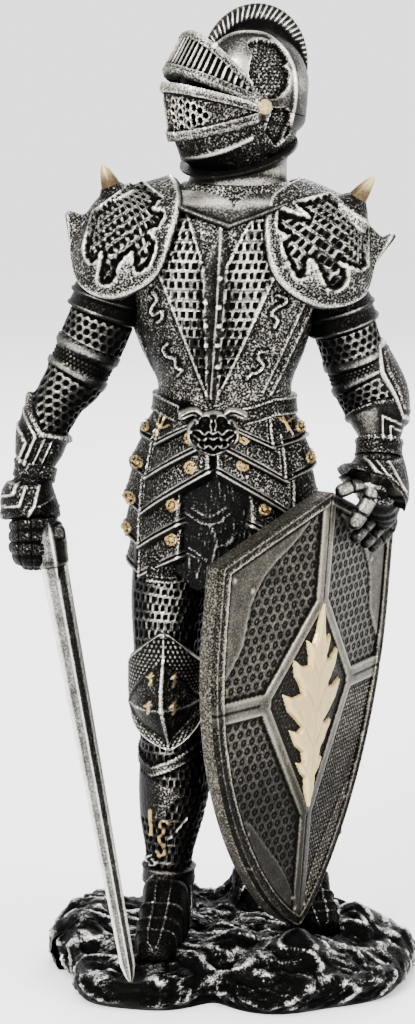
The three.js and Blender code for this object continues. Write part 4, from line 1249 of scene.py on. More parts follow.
@dataclass
class Skirt(Assembly):
    """The belt with its mask, the tassets and the leather cloth between them."""

    hips: Limb = field(default_factory=lambda: Limb((
        (3.8, 0.5, 128, 23.5, 15.5, -6), (4.2, 0.5, 142, 24.5, 16.5, -6), (4.5, 0.5, 155, 24.5, 17, -8),
        (5, 0.5, 167, 22.8, 16, -12), (5.1, 0.5, 178, 20.8, 14.6, -16), (5.2, 0.5, 186, 20.2, 13.9, -16)),
        upright=True))
    corners: tuple[float, ...] = (45, 49, 52, 54, 55)  # degrees from the front to each tier's fold, from the top down
    edges: tuple[float, ...] = (168.6, 158.4, 147.4, 137.2, 128.2)  # heights of the lower edges
    rise: tuple[float, ...] = (9.4, 12.8, 15.6, 14.6, 12.4)  # how far these rise from the folds to the slots
    reach: tuple[float, ...] = (2.6, 3.6, 4.3, 4.6, 4.4)  # how far the plates stand off the hips
    flowers: tuple[tuple[tuple[float, float], ...], ...] = (
        ((-19.6, 173.6), (28.4, 174.8)), ((-5.2, 172.3), (11.1, 172.6), (-21.4, 162.8), (31.4, 165.2)),
        ((-5.2, 163.8), (10.6, 164.7), (-23.6, 151.8)), ((-10.6, 152.0), (17.2, 151.1), (-25.0, 142.2)),
        ((-10.9, 141.4),))

    def tasset(self, tier: int) -> Piece:
        """One tier of plates round the hips.

        Args:
            tier: its number from the belt down.

        Returns:
            The piece.
        """
        edge, rise, reach = self.edges[tier], self.rise[tier], self.reach[tier]
        upper = self.edges[tier - 1] + 3.5 if tier else 181.5
        inner, outer = ((20.5, 22) if tier > 2 else (1.4, 2.4))
        low, high = self.hips.level(edge), self.hips.level(upper)
        corner = self.corners[tier] * DEGREE

        def folded(angle: Field) -> Field:
            """The angle from the nearest slot."""
            return np.where(np.abs(angle) > math.pi / 2, math.pi - np.abs(angle), np.abs(angle))

        def away(angle: Field, share: Field) -> Field:
            """Distance from the slanted fold between the front plate and the side plate."""
            return (folded(angle) - corner - 0.17 * (share - low) / (high - low)) * 26

        def out(angle: Field, share: Field) -> Field:
            """How far the plates stand off the hips."""
            v = (share - low) / (high - low)
            slot = -7 * ramp(folded(angle) / DEGREE, outer, inner)
            behind = 1.3 * ramp(away(angle, share), 0.1, 0.6) * ramp(away(angle, share), 14, 4)
            return mix(reach + 0.9, reach - 2.4, v) + slot - behind

        def shift(angle: Field, share: Field) -> Field:
            """How far the lower edge is raised towards the slots."""
            v = (share - low) / (high - low)
            past = (folded(angle) - corner) / (math.pi / 2 - corner)
            drop = np.where(past < 0, folded(angle) / corner, 1 - 0.35 * past)
            return mix(rise, self.rise[tier - 1] if tier else -4.5, v) * (1 - drop)

        rows = int((upper - edge + 3) / 0.5)
        skin = self.hips.tube(np.linspace(low, high, rows), out, shift, 0.52)
        run = skin.run - skin.run[1]
        fold = away(skin.angle, skin.share)
        side = (folded(skin.angle) / DEGREE - outer) * 0.42
        # a bead, a groove and a fine bead along the edge, the fold and the slot
        for line, wide, tall in ((0.45, 0.5, 0.5), (1.35, 0.28, -0.3), (2.0, 0.3, 0.35)):
            beyond = ramp(run, line - 0.3, line + 0.3)
            skin.carve(bump(run, line, wide), tall)
            skin.carve(bump(fold, -line, wide), tall, beyond)
            skin.carve(bump(side, line, 0.35), 0.8 * tall, (tier > 0 and wide > 0.3) * beyond)
        skin.grain(0.14, ramp(run, 2.4, 3.0))
        skin.flowers(self.flowers[tier])
        if tier == 0:
            for x, z, hand in ((-13.9, 174.6, 1), (23.2, 176.6, -1)):
                skin.raise_line(
                    [(x - 2.4 * hand, z - 4), (x, z), (x + 1.6 * hand, z + 3.8)], 0.45, 0.6, skin.front(), 1)
                skin.raise_line(
                    [(x - 1.9, z + 1.2), (x + 0.2, z - 0.4), (x + 2.2, z + 0.6)], 0.45, 0.6, skin.front(), 1)
        if tier == 4:
            skin.raise_line([(-16.5, 126.6), (-12, 127.4), (-8.2, 128.4)], 0.9, 0.5, skin.front())
        # Painted shade: the front plate is lighter near its lower edge and darker higher up, under the tier above, and
        # the side plate darker just behind the fold.
        skin.base = 0.4 + 0.1 * ramp(run, 6, 1.0) * ramp(fold, 1, 0) - 0.12 * ramp(fold, 0.2, 0.8) * ramp(fold, 8, 2)
        return skin.build(f"tasset_{tier}", Metal.SILVER, 1.0)

    def cloth(self) -> Piece:
        """The leather cloth with its folds."""
        high = self.hips.level(166)

        def out(angle: Field, share: Field) -> Field:
            """How far the cloth stands off the hips."""
            v = share / high
            folds = 0.7 * np.sin(11 * angle + 1.5 * np.sin(5 * v)) - 4 * ramp(np.abs(angle), 0.8, 1.1)
            return 1.5 + folds * (1 - v)

        def shift(angle: Field, share: Field) -> Field:
            """The points of the hem."""
            return (1 - share / high) * 2.4 * np.sin(13 * angle + 1.2)

        skin = self.hips.tube(np.linspace(0, high, 86), out, shift, 0.68)
        lean = skin.x + 0.25 * np.sin(0.35 * skin.z)
        strands = np.abs(np.sin(4.1 * lean)) * np.abs(np.sin(2.3 * lean + 0.12 * skin.z))
        strands = strands * (0.5 + 0.5 * np.sin(0.9 * skin.z + 5 * lean))
        skin.carve(strands, 0.8, ramp(skin.x, -9, 4))
        skin.raise_lines(CLOTH_CREASES, 0.6, 0.7, 0.75 * skin.front())
        skin.grain(0.08)
        skin.base = skin.base - 0.2
        return skin.build("loincloth", Metal.LEATHER, 0.8)

    def mask(self) -> Piece:
        """The belt's grotesque mask, all horns, brows and fangs."""
        step = 0.26
        z, x = np.mgrid[165.6:183.0:step, -8.6:12.0:step]
        flat, m = x - 1.7, np.abs(x - 1.7)
        edge = np.hypot(flat / 7.6, (z - 173.8) / 6.6)
        out = 3.4 * np.sqrt(np.clip(1 - edge ** 2, 0, 1)) - 7.5 * ramp(edge, 0.98, 1.15)
        ears = line_distance(m, z, [(3.4, 178.4), (5.2, 180.4), (7.4, 180.2), (9.6, 179.2)])
        out = np.where(ears < 1.2, np.maximum(out, 2.4 * np.sqrt(np.clip(1 - (ears / 1.2) ** 2, 0, 1)) - 1.0), out)
        skin = Skin(np.stack([x, np.full_like(x, -19.0), z], -1), wraps=False)
        relief = out + 1.3 * bump(np.hypot(flat, (z - 175.2) * 0.8), 0, 1.5)
        relief -= (
            1.3 * bump(np.hypot(m - 3.2, (z - 176.8) * 1.1), 0, 1.2) + 1.1 * bump(z, 171.7, 0.7) * ramp(m, 4.6, 3.6))
        relief -= 0.8 * bump(np.hypot(m - 5.4, z - 174.6), 0, 0.9) + 0.8 * bump(np.hypot(m - 1.2, z - 173.8), 0, 0.6)
        relief += 0.9 * bump(np.hypot(m - 3.2, z - 176.7), 0, 0.45)
        for line in MASK_LINES:
            relief += bump(line_distance(m, z, line), 0, 0.42)
        skin.relief = relief
        skin.out = np.broadcast_to(np.array([0.0, -1.0, 0.0]), skin.points.shape)
        skin.base = 0.26 + 0.1 * ramp(edge, 0.9, 0.4)
        return skin.build("belt_mask", Metal.SILVER, 0.75, 4, back=(0, 8, 0))

    def lowest(self) -> Piece:
        """The small plate that shows under the lowest tasset of the right leg."""
        z, x = np.mgrid[127.4:135.4:17j, -18.4:-8.6:24j]
        skin = Skin(
            np.stack([x, -15.4 + 0.05 * (x + 13) ** 2 + 0.1 * (z - 125), z + 0.08 * np.abs(x + 11)], -1), wraps=False)
        run = z - 127.4
        skin.carve(bump(run, 0.5, 0.5) + 0.6 * bump(run, 2.0, 0.4), 0.5)
        skin.grain(0.1)
        skin.base = 0.34 + 0.14 * bump(run, 0.5, 0.6)
        return skin.build("tasset_lowest", Metal.SILVER, 1.0, back=(0, 4, 0))

    def build(self) -> None:
        """Models the belt, its mask, the tassets and the cloth."""
        level = np.linspace(178.4, 184.0, 18)
        belt = self.hips.tube(
            self.hips.level(level), 1.9, lambda angle, _: -5.2 * np.clip(1 - np.abs(angle) / 0.95, 0, 1))
        run = belt.run - belt.run[1]
        lines = bump(run, 0.45, 0.35) + bump(run, 5.1, 0.35)
        belt.carve(lines, 0.3)
        belt.grain(0.09)
        belt.base = belt.base - 0.12 + 0.16 * lines
        self.keep(belt.build("belt", Metal.SILVER, 1.0), self.mask(), self.cloth(), self.lowest())
        self.keep(*[self.tasset(tier) for tier in range(len(self.edges))])


# Torso

# The two fields of mail on the breastplate
MAIL_WEDGES: Lines = (
    [(-6.4, 241), (-1.2, 222.8), (0.3, 185.6), (-13.6, 220.5), (-18, 232), (-20, 243)],
    [(14.5, 240), (5.7, 223.7), (3.0, 185.6), (19.3, 220.2), (24, 232), (26, 243)])

# The beads along them
WEDGE_EDGES: Lines = (
    [(-13.6, 220.5), (0.0, 184.8)], [(19.3, 220.2), (3.4, 185)], [(-6.4, 241), (-1.2, 222.7)],
    [(14.5, 240), (5.7, 223.7)], [(-19, 234), (-13.6, 220.5)], [(24.5, 233), (19.3, 220.2)])

# The beads of the middle band and of the sides
CHEST_EDGES: Lines = (
    [(-1.2, 222.8), (0.2, 184)], [(5.7, 223.8), (3.2, 184)], [(28.8, 213), (16.4, 185.9)],
    [(31, 211), (18.8, 185.1)], [(-23.6, 213), (-14.6, 187)])

# The scrolls on the sides
CHEST_SCROLLS: Lines = (
    [(-16.1, 215.9), (-14.7, 213.6), (-16.4, 210.6), (-15.9, 208.8), (-13.5, 210.0), (-13.2, 207.9), (-14.7, 206.7)],
    [(-11.7, 200.2), (-12.9, 198.7), (-11.7, 196.3), (-9.4, 195.7), (-9.1, 193.3), (-7.4, 192.1), (-8.6, 190.4)],
    [(20.9, 215.0), (22.9, 214.1), (22.9, 212.7), (20.0, 211.2), (18.8, 209.7), (20.6, 207.6), (19.7, 205.5)],
    [(17.4, 198.1), (15.3, 198.1), (15.0, 196.3), (16.5, 193.9), (15.0, 192.1), (12.6, 191.2), (11.8, 190.0)])


@dataclass
class Torso(Assembly):
    """The cuirass and the gorget."""

    chest: Limb = field(default_factory=lambda: Limb((
        (5, 0.5, 168, 20.8, 14.6, -16), (5, 0.5, 177, 20.6, 14.4, -16), (5.2, 0.5, 186, 20.1, 13.9, -16),
        (4.6, 0.2, 198, 24.6, 15.8, -9),
        (4.4, 0, 211, 28.4, 18.2, -4), (4.6, 0, 224, 29.4, 19, -3), (5.8, 0.5, 235, 26, 17, -4),
        (8, 1, 243, 18.5, 14, -4), (9.2, 1.5, 250, 14, 12.5, -4)), upright=True,
        form=lambda angle: 1 + 0.05 * bump(angle, 0, 0.45)))
    neck: Limb = field(default_factory=lambda: Limb((
        (6.2, 0.2, 238.6, 23, 18.9), (8.0, 0.8, 243, 17.6, 15.8), (9.0, 1, 247.5, 14.8, 13.8),
        (9.3, 0.8, 252, 14.5, 14), (9.3, 0.5, 256.2, 16.2, 16.2)), upright=True))

    def cuirass(self) -> Piece:
        """The breastplate: two wedges of mail beside a ridged band, with scrolls on the sides."""
        skin = self.chest.skin([(170, 0), (247, 0)], 0.46)
        x, z, front = skin.x, skin.z, skin.front()
        links = skin.within(*MAIL_WEDGES)
        band = inside(x, z, [(-1.2, 222.8), (4.2, 238), (5.7, 223.8), (3.2, 183), (0.1, 183)]).astype(float)
        skin.carve(mail(x * 1.04 + 0.4, z, 2.3, 2.85, 0.9), 1.0, links)
        middle = bump(np.minimum(np.abs(x + 8.5 - 0.16 * (z - 215)), np.abs(x - 13 + 0.16 * (z - 215))), 0, 6)
        skin.carve(1 - links, 0.55)
        skin.carve(blurred(band, 2, True), 0.6)
        skin.raise_line([(4.2, 237), (1.3, 184)], 0.6, 0.6, front, smooth=False)
        skin.raise_lines(WEDGE_EDGES, 0.7, 0.7, smooth=False)
        skin.raise_lines(CHEST_EDGES, 0.8, 0.5, front, smooth=False)
        for line in CHEST_SCROLLS:
            skin.raise_line(line, 0.55, 0.8, front)
            skin.carve(bump(line_distance(x, z, line), 1.0, 0.5), -0.3, front)
        skin.rivets([(3.8, 220.4), (-0.4, 213.2), (3.5, 211.9), (-0.3, 206.4), (3.5, 206.4), (-0.1, 200.5),
                     (3.1, 200.5), (0.0, 192.3), (3.0, 194.0)], 1.0, 0.9)
        skin.grain(0.14, (1 - links) * (1 - 0.8 * band))
        skin.base = 0.44 + 0.03 * (1 - links) * (1 - band) + links * (0.24 * middle - 0.12) * ramp(z, 180, 200)
        return skin.build("cuirass", Metal.SILVER, 0.9)

    def gorget(self) -> Piece:
        """The flared collar with its rim under the helmet."""

        def shift(angle: Field, share: Field) -> Field:
            """The point on the chest and the slope of the upper rim."""
            point = (1 - share) ** 3 * (8.8 * np.abs(np.sin(angle)) - 3.9)
            return point - share ** 3 * 6.6 * np.cos(angle + 0.61)

        skin = self.neck.tube(np.linspace(0, 1, 70),
                              lambda _, share: 1.4 * ramp(share, 0.9, 0.97) + 0.5 * ramp(share, 0.05, 0.03), shift, 0.6)
        skin.carve(bump(skin.share, 0.02, 0.03) + bump(skin.share, 0.97, 0.025), 0.5)
        # Bright bands of polish and painted reflection run round the collar, with a darker band above them.
        polish_and_sheen = (bump(skin.share, 0.45 + 0.2 * np.sin(1.3 * skin.angle + 0.4), 0.2)
                + bump(skin.share, 0.16 + 0.1 * np.cos(2.5 * skin.angle), 0.07))
        skin.base = 0.44 + 0.26 * polish_and_sheen + 0.16 * bump(skin.share, 0.97, 0.03)
        skin.base = skin.base - 0.2 * bump(skin.share, 0.62 + 0.12 * np.cos(2.1 * skin.angle), 0.07)
        return skin.build("gorget", Metal.SILVER, 0.8)

    def build(self) -> None:
        """Models the cuirass and the gorget."""
        self.keep(self.cuirass(), self.gorget())


# Arms


def band_levels(height: float, out: float, width: float) -> list[tuple[float, float]]:
    """The levels of a raised band at a height."""
    half = width / 2
    return [(height - half, 0.1), (height - half + 0.15, out), (height + half - 0.15, out), (height + half, 0.1)]

# Stepped plates of the right vambrace and its cuff
RIGHT_PLATES: Lines = (
    [(-55.8, 180.5), (-51.5, 172.0), (-55.0, 163.6), (-70, 163.6), (-70, 182)],
    [(-57.0, 176.0), (-54.1, 169.9), (-56.2, 164.1), (-70, 164.1), (-70, 176)],
    [(-62.1, 158), (-62.1, 146), (-57.3, 146.5), (-54.1, 148.4), (-51.8, 151.6), (-50.5, 157.4)],
    [(-64, 158), (-64, 150.8), (-56.0, 151.4), (-54.2, 157.1)],
    [(-64, 158), (-64, 153.3), (-57.4, 154.5), (-56.3, 158.2)])

# Beads of the right vambrace, each with its width
RIGHT_EDGES: Sequence[tuple[Line, float]] = (
    ([(-55.8, 180.5), (-51.5, 172.0), (-55.0, 163.6)], 0.8), ([(-57, 176), (-54.1, 169.9), (-56.2, 164.1)], 0.7),
    ([(-48.9, 171.4), (-52.4, 163.9)], 0.7), ([(-46.6, 171), (-50, 163.9)], 0.6),
    ([(-61, 153.3), (-57.4, 154.5), (-56.3, 158.2)], 0.7), ([(-61, 150.8), (-56, 151.4), (-54.2, 157.1)], 0.7),
    ([(-62.1, 148.4), (-60.2, 147.6), (-57.3, 146.9), (-54.1, 148.4), (-51.8, 151.6), (-50.6, 157.2)], 1.3),
    ([(-50.7, 148.2), (-46.3, 149.6), (-42.4, 152.4)], 0.8), ([(-50.7, 151.5), (-46.2, 153.6)], 0.6))

# Beads of the left one
LEFT_EDGES: Sequence[tuple[Line, float]] = (
    ([(52.7, 171.6), (52.7, 178), (58.4, 175.2)], 0.8), ([(55, 171), (55, 174.9), (58.6, 173.1)], 0.7),
    ([(47.5, 165.6), (59.4, 150.7)], 1.5), ([(53.9, 164.5), (58.7, 155.9)], 0.8),
    ([(50.5, 165), (59.6, 153.5)], 0.5))


@dataclass
class Arms(Assembly):
    """Both sleeves with their vambraces and hands."""

    right: Limb = field(default_factory=lambda: Limb((
        (-53.4, -9.5, 147, 5.6, 6.2), (-53.4, -8, 153, 5.6, 6.1), (-52.4, -6.2, 160, 5.3, 5.9),
        (-49.8, -4, 171, 6, 6.6), (-45.2, -1, 181.5, 7, 8), (-40.2, 0, 189, 8.7, 9), (-36.2, 0, 197, 9, 9.6),
        (-32.2, 0, 206, 9, 10), (-27, 0, 222, 10.5, 11.5))))
    left: Limb = field(default_factory=lambda: Limb((
        (49.6, -10, 153.5, 5.6, 6.2), (51, -8.5, 158, 5.8, 6.2), (52, -5, 168, 5.8, 6.2), (52, -2, 175, 7.6, 7.6),
        (50.2, 1, 182, 9, 9), (46.8, 2.5, 189, 9.2, 9.4), (43.8, 2, 197, 8.6, 9.4), (40.8, 1, 206, 8.8, 10),
        (36, 0, 222, 10.5, 11.5))))

    def sleeve(self, limb: Limb, lower: Rows, bands: tuple[float, float], lame: float, lit: float,
               way: Profile) -> Skin:
        """A sleeve from the cuff to the lame under the pauldron.

        Args:
            limb: the arm's form.
            lower: the levels of the cuff and the vambrace.
            bands: heights of the two bands.
            lame: height of the lame's lower edge.
            lit: the angle that is painted lit; away from it the sleeve gets painted shade.
            way: the share of the vambrace's lean at each angle.

        Returns:
            The skin.
        """
        top = [(lame, 0.1), (lame + 0.3, 2.2), (lame + 4.4, 1.2), (lame + 4.7, 2.0), (lame + 9, 0.4), (222, 0)]
        skin = limb.skin([*lower, *band_levels(bands[0], 1.2, 2.4), *band_levels(bands[1], 1.3, 2.8), *top], GRAIN, way)
        level, above = skin.level, ramp(skin.level, lower[-2][0], lower[-2][0] + 0.4)
        flat = ramp(np.abs(level - bands[0]), 1.5, 1.1) + ramp(np.abs(level - bands[1]), 1.6, 1.2)
        between = ramp(level, bands[0], bands[0] + 0.5) * ramp(level, bands[1], bands[1] - 0.5) * (1 - flat)
        holes = above * ramp(level, lame - 0.1, lame - 0.5) * (1 - flat) * (1 - between)
        skin.carve(pierced(skin.girth, skin.place, 2.6, 0.8), 0.85, holes)
        skin.carve(1 - pierced(skin.girth, level, 1.35, 0.44), 0.55, between)
        edge = bump(level, lame + 0.9, 0.4) + bump(level, lame + 5.3, 0.35)
        skin.carve(edge, 0.5)
        skin.grain(0.1, 1 - np.clip(holes + between, 0, 1))
        skin.base = 0.38 + 0.3 * flat - 0.08 * between + (0.25 * edge - 0.08) * ramp(level, lame - 0.2, lame)
        # Painted shade on the front of the sleeve above the vambrace: darker away from the lit angle, and a little
        # darker above the lame, under the pauldron.
        above = above * ramp(np.cos(skin.angle), -0.5, 0.3)
        skin.light = 1 - above * (
            mix(0.62, 0.45, flat) * (1 - bump(skin.angle, lit, 1.0)) + 0.12 * ramp(level, lame, lame + 1))
        skin.pits = skin.pits * (1 - 0.7 * flat) * (1 - np.clip(edge, 0, 1))
        return skin

    def arm_right(self) -> Piece:
        """The right arm, whose vambrace has a pointed collar and stepped plates on its outer side."""
        lower = [
            (146.8, 2.6), (147.6, 3.4), (152, 2.6), (157.6, 0.6), *band_levels(160.4, 1.2, 4.8), (163.4, 0.5, 1.5),
            (166, 1.6, 5), (169.6, 1.8, 10.4), (170.4, 2.6, 11), (171.4, 2.4, 11.4), (171.7, 0, 11.4), (189, 0)]
        skin = self.sleeve(self.right, lower, (190.2, 197.2), 207.4, -0.35,
                           lambda a: np.interp(a, (-math.pi, -1.57, -0.1, 1.57, math.pi), (0.5, 1, 0, 0.15, 0.5)))
        face, below = skin.front(-0.2, 0.1), ramp(skin.level, 171.8, 171.6)
        skin.carve(bump(skin.level, 170.8, 0.7), 0.4)
        skin.base = skin.base + 0.2 * bump(skin.level, 170.8, 0.9)
        for plate in RIGHT_PLATES:
            skin.carve(skin.within(plate), 0.55, face * below)
        for line, width in RIGHT_EDGES:
            skin.raise_line(line, 0.75 * width, 0.6, face * below, 0, False)
        # Painted shade on the cuff's side towards the body.
        cone = ramp(skin.x, -51, -49.6) * ramp(skin.level, 158, 157)
        skin.light = skin.light * (1 - 0.4 * cone)
        return skin.build("arm_right", Metal.SILVER, 0.9)

    def arm_left(self) -> Piece:
        """The left arm with its polished vambrace and a cuff that reaches down its outer side."""
        lower = [(149.6, 4.6, 11.2), (151, 5.4, 11), (156, 4.2, 7), (164.6, 1.2, 0.4),
                 *band_levels(167.4, 1.3, 4.6), (177.4, 0.8), (177.6, 1.6), (178.7, 1.6), (178.9, 0.1), (184, 0)]
        skin = self.sleeve(self.left, lower, (187.8, 194.6), 203.9, 0.35,
                           lambda a: np.interp(a, (-math.pi, -1.57, 0.2, 1.57, math.pi), (0.3, 0.46, 0.56, 0, 0.3)))
        face, level = skin.front(-0.2, 0.1), skin.level
        skin.carve(bump(skin.angle, -1.5, 0.8), 2.6, ramp(level, 162, 152))
        skin.carve(bump(level, 150.6, 0.8) + bump(np.abs(level - 167.4), 1.9, 0.35), 0.4)
        skin.carve(skin.within([(47.5, 165.2), (60.5, 149), (66, 149), (66, 165)]), 0.8, face)
        plain = ramp(level, 169.8, 170.2) * ramp(level, 177.6, 177.2)
        # Painted highlight: the plain vambrace is lighter on its side towards the body.
        skin.base = (skin.base + 0.16 * plain * ramp(skin.x, 53, 50)
                     + 0.2 * bump(level, 178.1, 0.6) + 0.15 * bump(level, 150.6, 0.9))
        skin.pits = skin.pits * (1 - 0.75 * plain)
        # Painted shade on the outer side of the cuff.
        skin.light = skin.light * (1 - 0.3 * ramp(level, 166, 162) * ramp(skin.angle, 0.6, 1.6))
        for line, width in LEFT_EDGES:
            skin.raise_line(line, 0.75 * width, 0.6, face, 0, False)
        return skin.build("arm_left", Metal.SILVER, 0.9)

    def fist(self) -> Piece:
        """The right hand round the grip."""
        limb = Limb(((-52.4, -12, 132.5, 4.2, 4.6, 20), (-52.4, -11.6, 139, 6.6, 7, 20),
                     (-52.6, -10.4, 146, 6.4, 7, 20), (-53.2, -9.4, 150, 5.4, 6, 20)))
        skin = limb.skin([(132.6, -1), (134, 0.2), (149.6, 0)])
        ribs = np.abs(((skin.level - 133.2) / 3.4) % 1 - 0.5) * 2
        knuckles = np.abs(((skin.angle + 0.4) / 0.55) % 1 - 0.5) * 2
        skin.carve(1 - ribs ** 4, 0.8, ramp(skin.level, 148, 146))
        skin.carve(ramp(knuckles, 0.95, 0.8), 0.3)
        skin.grain(0.06)
        skin.base = np.full_like(skin.relief, 0.24)
        return skin.build("hand_right", Metal.SILVER, 0.9)

    def finger(self, name: str, joints: Sequence[Tuple3], thick: float, base: float = 0.5) -> Piece:
        """A plated finger.

        Args:
            name: the piece's name.
            joints: its joints from the knuckle to the tip.
            thick: its half thickness.
            base: how much paint it catches.

        Returns:
            The piece.
        """
        limb = Limb([(*joint, thick, thick) for joint in reversed(joints)], ahead=(0.8, -0.6, 0.0))
        share = np.linspace(0, 1, 40)
        ends = np.sqrt(np.clip(1 - np.abs(2 * share - 1) ** 6, 0.02, 1))
        cells = (share * (len(joints) - 1)) % 1
        skin = limb.tube(share, (ends - 1) * thick - 0.4 * (bump(cells, 0, 0.07) + bump(cells, 1, 0.07)), 0.0, 0.5)
        # Dark joints, and painted light: the side facing ahead lighter than the back.
        skin.base = (base - 0.3 * bump(np.abs((skin.share * (len(joints) - 1)) % 1 - 0.5), 0.5, 0.09)
                     + 0.1 * np.cos(skin.angle))
        return skin.build(name, Metal.SILVER, 0.8)

    def palm(self) -> Piece:
        """The back of the left hand."""
        limb = Limb(
            ((54, 1, 145, 3.2, 4.4), (53, -3.4, 150, 5.2, 6.2), (51.2, -8, 155.4, 6, 6.8), (50.4, -9, 161, 5, 5)))
        skin = limb.skin([(145, 0), (161, 0)])
        skin.carve(np.abs(((skin.level - 145) / 2.6 + 0.3 * np.sin(2 * skin.angle)) % 1 - 0.5) * 2, 0.7)
        skin.grain(0.08)
        skin.base = 0.34 + 0.26 * ramp(skin.x, 53, 48)
        return skin.build("hand_left", Metal.SILVER, 0.9)

    def elbow(self) -> Piece:
        """The cop on the left elbow."""
        v, u = np.mgrid[-1:1:50j, -1:1:46j]
        angle = 1.72 + u * 1.2 * np.sqrt(1 - 0.6 * v * v)
        out = 1.0 + 1.5 * np.sqrt(np.clip(1 - u * u, 0, 1) * np.clip(1 - v * v, 0, 1))
        skin = Skin(
            self.left.surface(mix(self.left.level(174), self.left.level(197), (v + 1) / 2), angle, out), wraps=False)
        rim = 1 - np.maximum(np.abs(u), np.abs(v))
        skin.carve(bump(rim, 0.07, 0.05) + 0.6 * bump(rim, 0.24, 0.04), 0.6)
        skin.grain(0.09, ramp(rim, 0.1, 0.2))
        skin.base = 0.44 + 0.14 * bump(rim, 0.07, 0.06)
        return skin.build("elbow_cop_left", Metal.SILVER, 0.9, back=(-5, 0, 0))

    def build(self) -> None:
        """Models the arms and the hands."""
        self.keep(self.arm_right(), self.arm_left(), self.fist(), self.palm(), self.elbow())
        fingers = (
            ([(50.2, -12.4, 158.6), (48.8, -13.4, 153.6), (46.2, -14, 149.2), (43.2, -14.8, 144.4)], 2.5, 0.56),
            ([(53.2, -2, 151.2), (50.6, -4, 146.2), (47.2, -8, 143.2), (43.8, -12.4, 140.1)], 2.0, 0.42),
            ([(56, 3, 147.8), (53.4, 1, 143), (50.1, -3, 139.8), (47.2, -7, 137.7)], 1.9, 0.4),
            ([(58, 8, 144.6), (56, 6, 140), (52.9, 2, 137.6), (49.7, -2.6, 135.6)], 1.8, 0.38))
        for i, (joints, thick, base) in enumerate(fingers):
            self.keep(self.finger(f"finger_left_{i}", joints, thick, base))
        self.keep(
            self.finger("thumb_left", [(47.4, -11.5, 157.4), (43, -14.5, 157.2), (38.6, -17.6, 155.8)], 2.2, 0.56))
        self.keep(self.finger("thumb_right", [(-48.6, -11.5, 146), (-45.4, -15.5, 144.5), (-44.6, -18, 141)], 2.4, 0.4))


# Pauldrons

# The right dome's rim over its front half, from beside the neck to the wing at the side
RIGHT_RIM: Sequence[Tuple3] = (
    (-10.2, -1, 249.0), (-7.6, -11, 243.7), (-10, -17.5, 233), (-15.5, -19.4, 220), (-28, -18, 213.8),
    (-37, -12.5, 217), (-40.5, -6, 226), (-42.6, 1, 238))

# The left dome's rim
LEFT_RIM: Sequence[Tuple3] = (
    (27.5, -1, 248.2), (18.4, -11, 243.5), (16.6, -17.6, 232), (20.5, -20, 219), (33, -18.5, 211.4),
    (45, -13, 213.5), (49.5, -6, 222), (56.6, 1, 232))

# Outline of the mail on the right dome
RIGHT_LINKS: Line = (
    (-32.9, 238.6), (-35.7, 230.0), (-36.0, 228.0), (-35.3, 225.6), (-34.0, 224.1), (-32.3, 224.6),
    (-31.0, 227.5), (-31.6, 222.1), (-32.1, 219.6), (-30.6, 218.2), (-28.6, 218.2), (-26.9, 220.1),
    (-25.9, 223.6), (-24.2, 226.5), (-22.2, 228.0), (-22.2, 224.1), (-21.2, 221.9), (-19.2, 221.9),
    (-17.0, 224.1), (-15.3, 228.0), (-15.2, 231.0), (-17.2, 233.4), (-14.4, 234.7), (-12.5, 237.3),
    (-12.8, 239.1), (-16.2, 239.8), (-13.2, 242.7), (-19.1, 246.4), (-22.2, 246.6))

# Outline of the mail on the left dome
LEFT_LINKS: Line = (
    (35.9, 243.3), (47.6, 234.7), (46.6, 228.0), (46.7, 223.1), (44.7, 222.1), (42.2, 223.1),
    (38.7, 224.8), (40.8, 223.1), (41.0, 220.1), (40.3, 218.2), (37.4, 216.4), (34.9, 217.2),
    (33.4, 220.1), (32.4, 223.1), (30.6, 225.6), (29.4, 225.6), (29.6, 223.1), (28.9, 220.4),
    (27.0, 219.9), (25.5, 221.1), (22.2, 228.0), (22.0, 231.0), (23.9, 232.4), (20.9, 233.4),
    (20.2, 235.9), (20.7, 239.3), (22.4, 239.8), (26.8, 238.1), (29.8, 237.8), (25.3, 241.3))


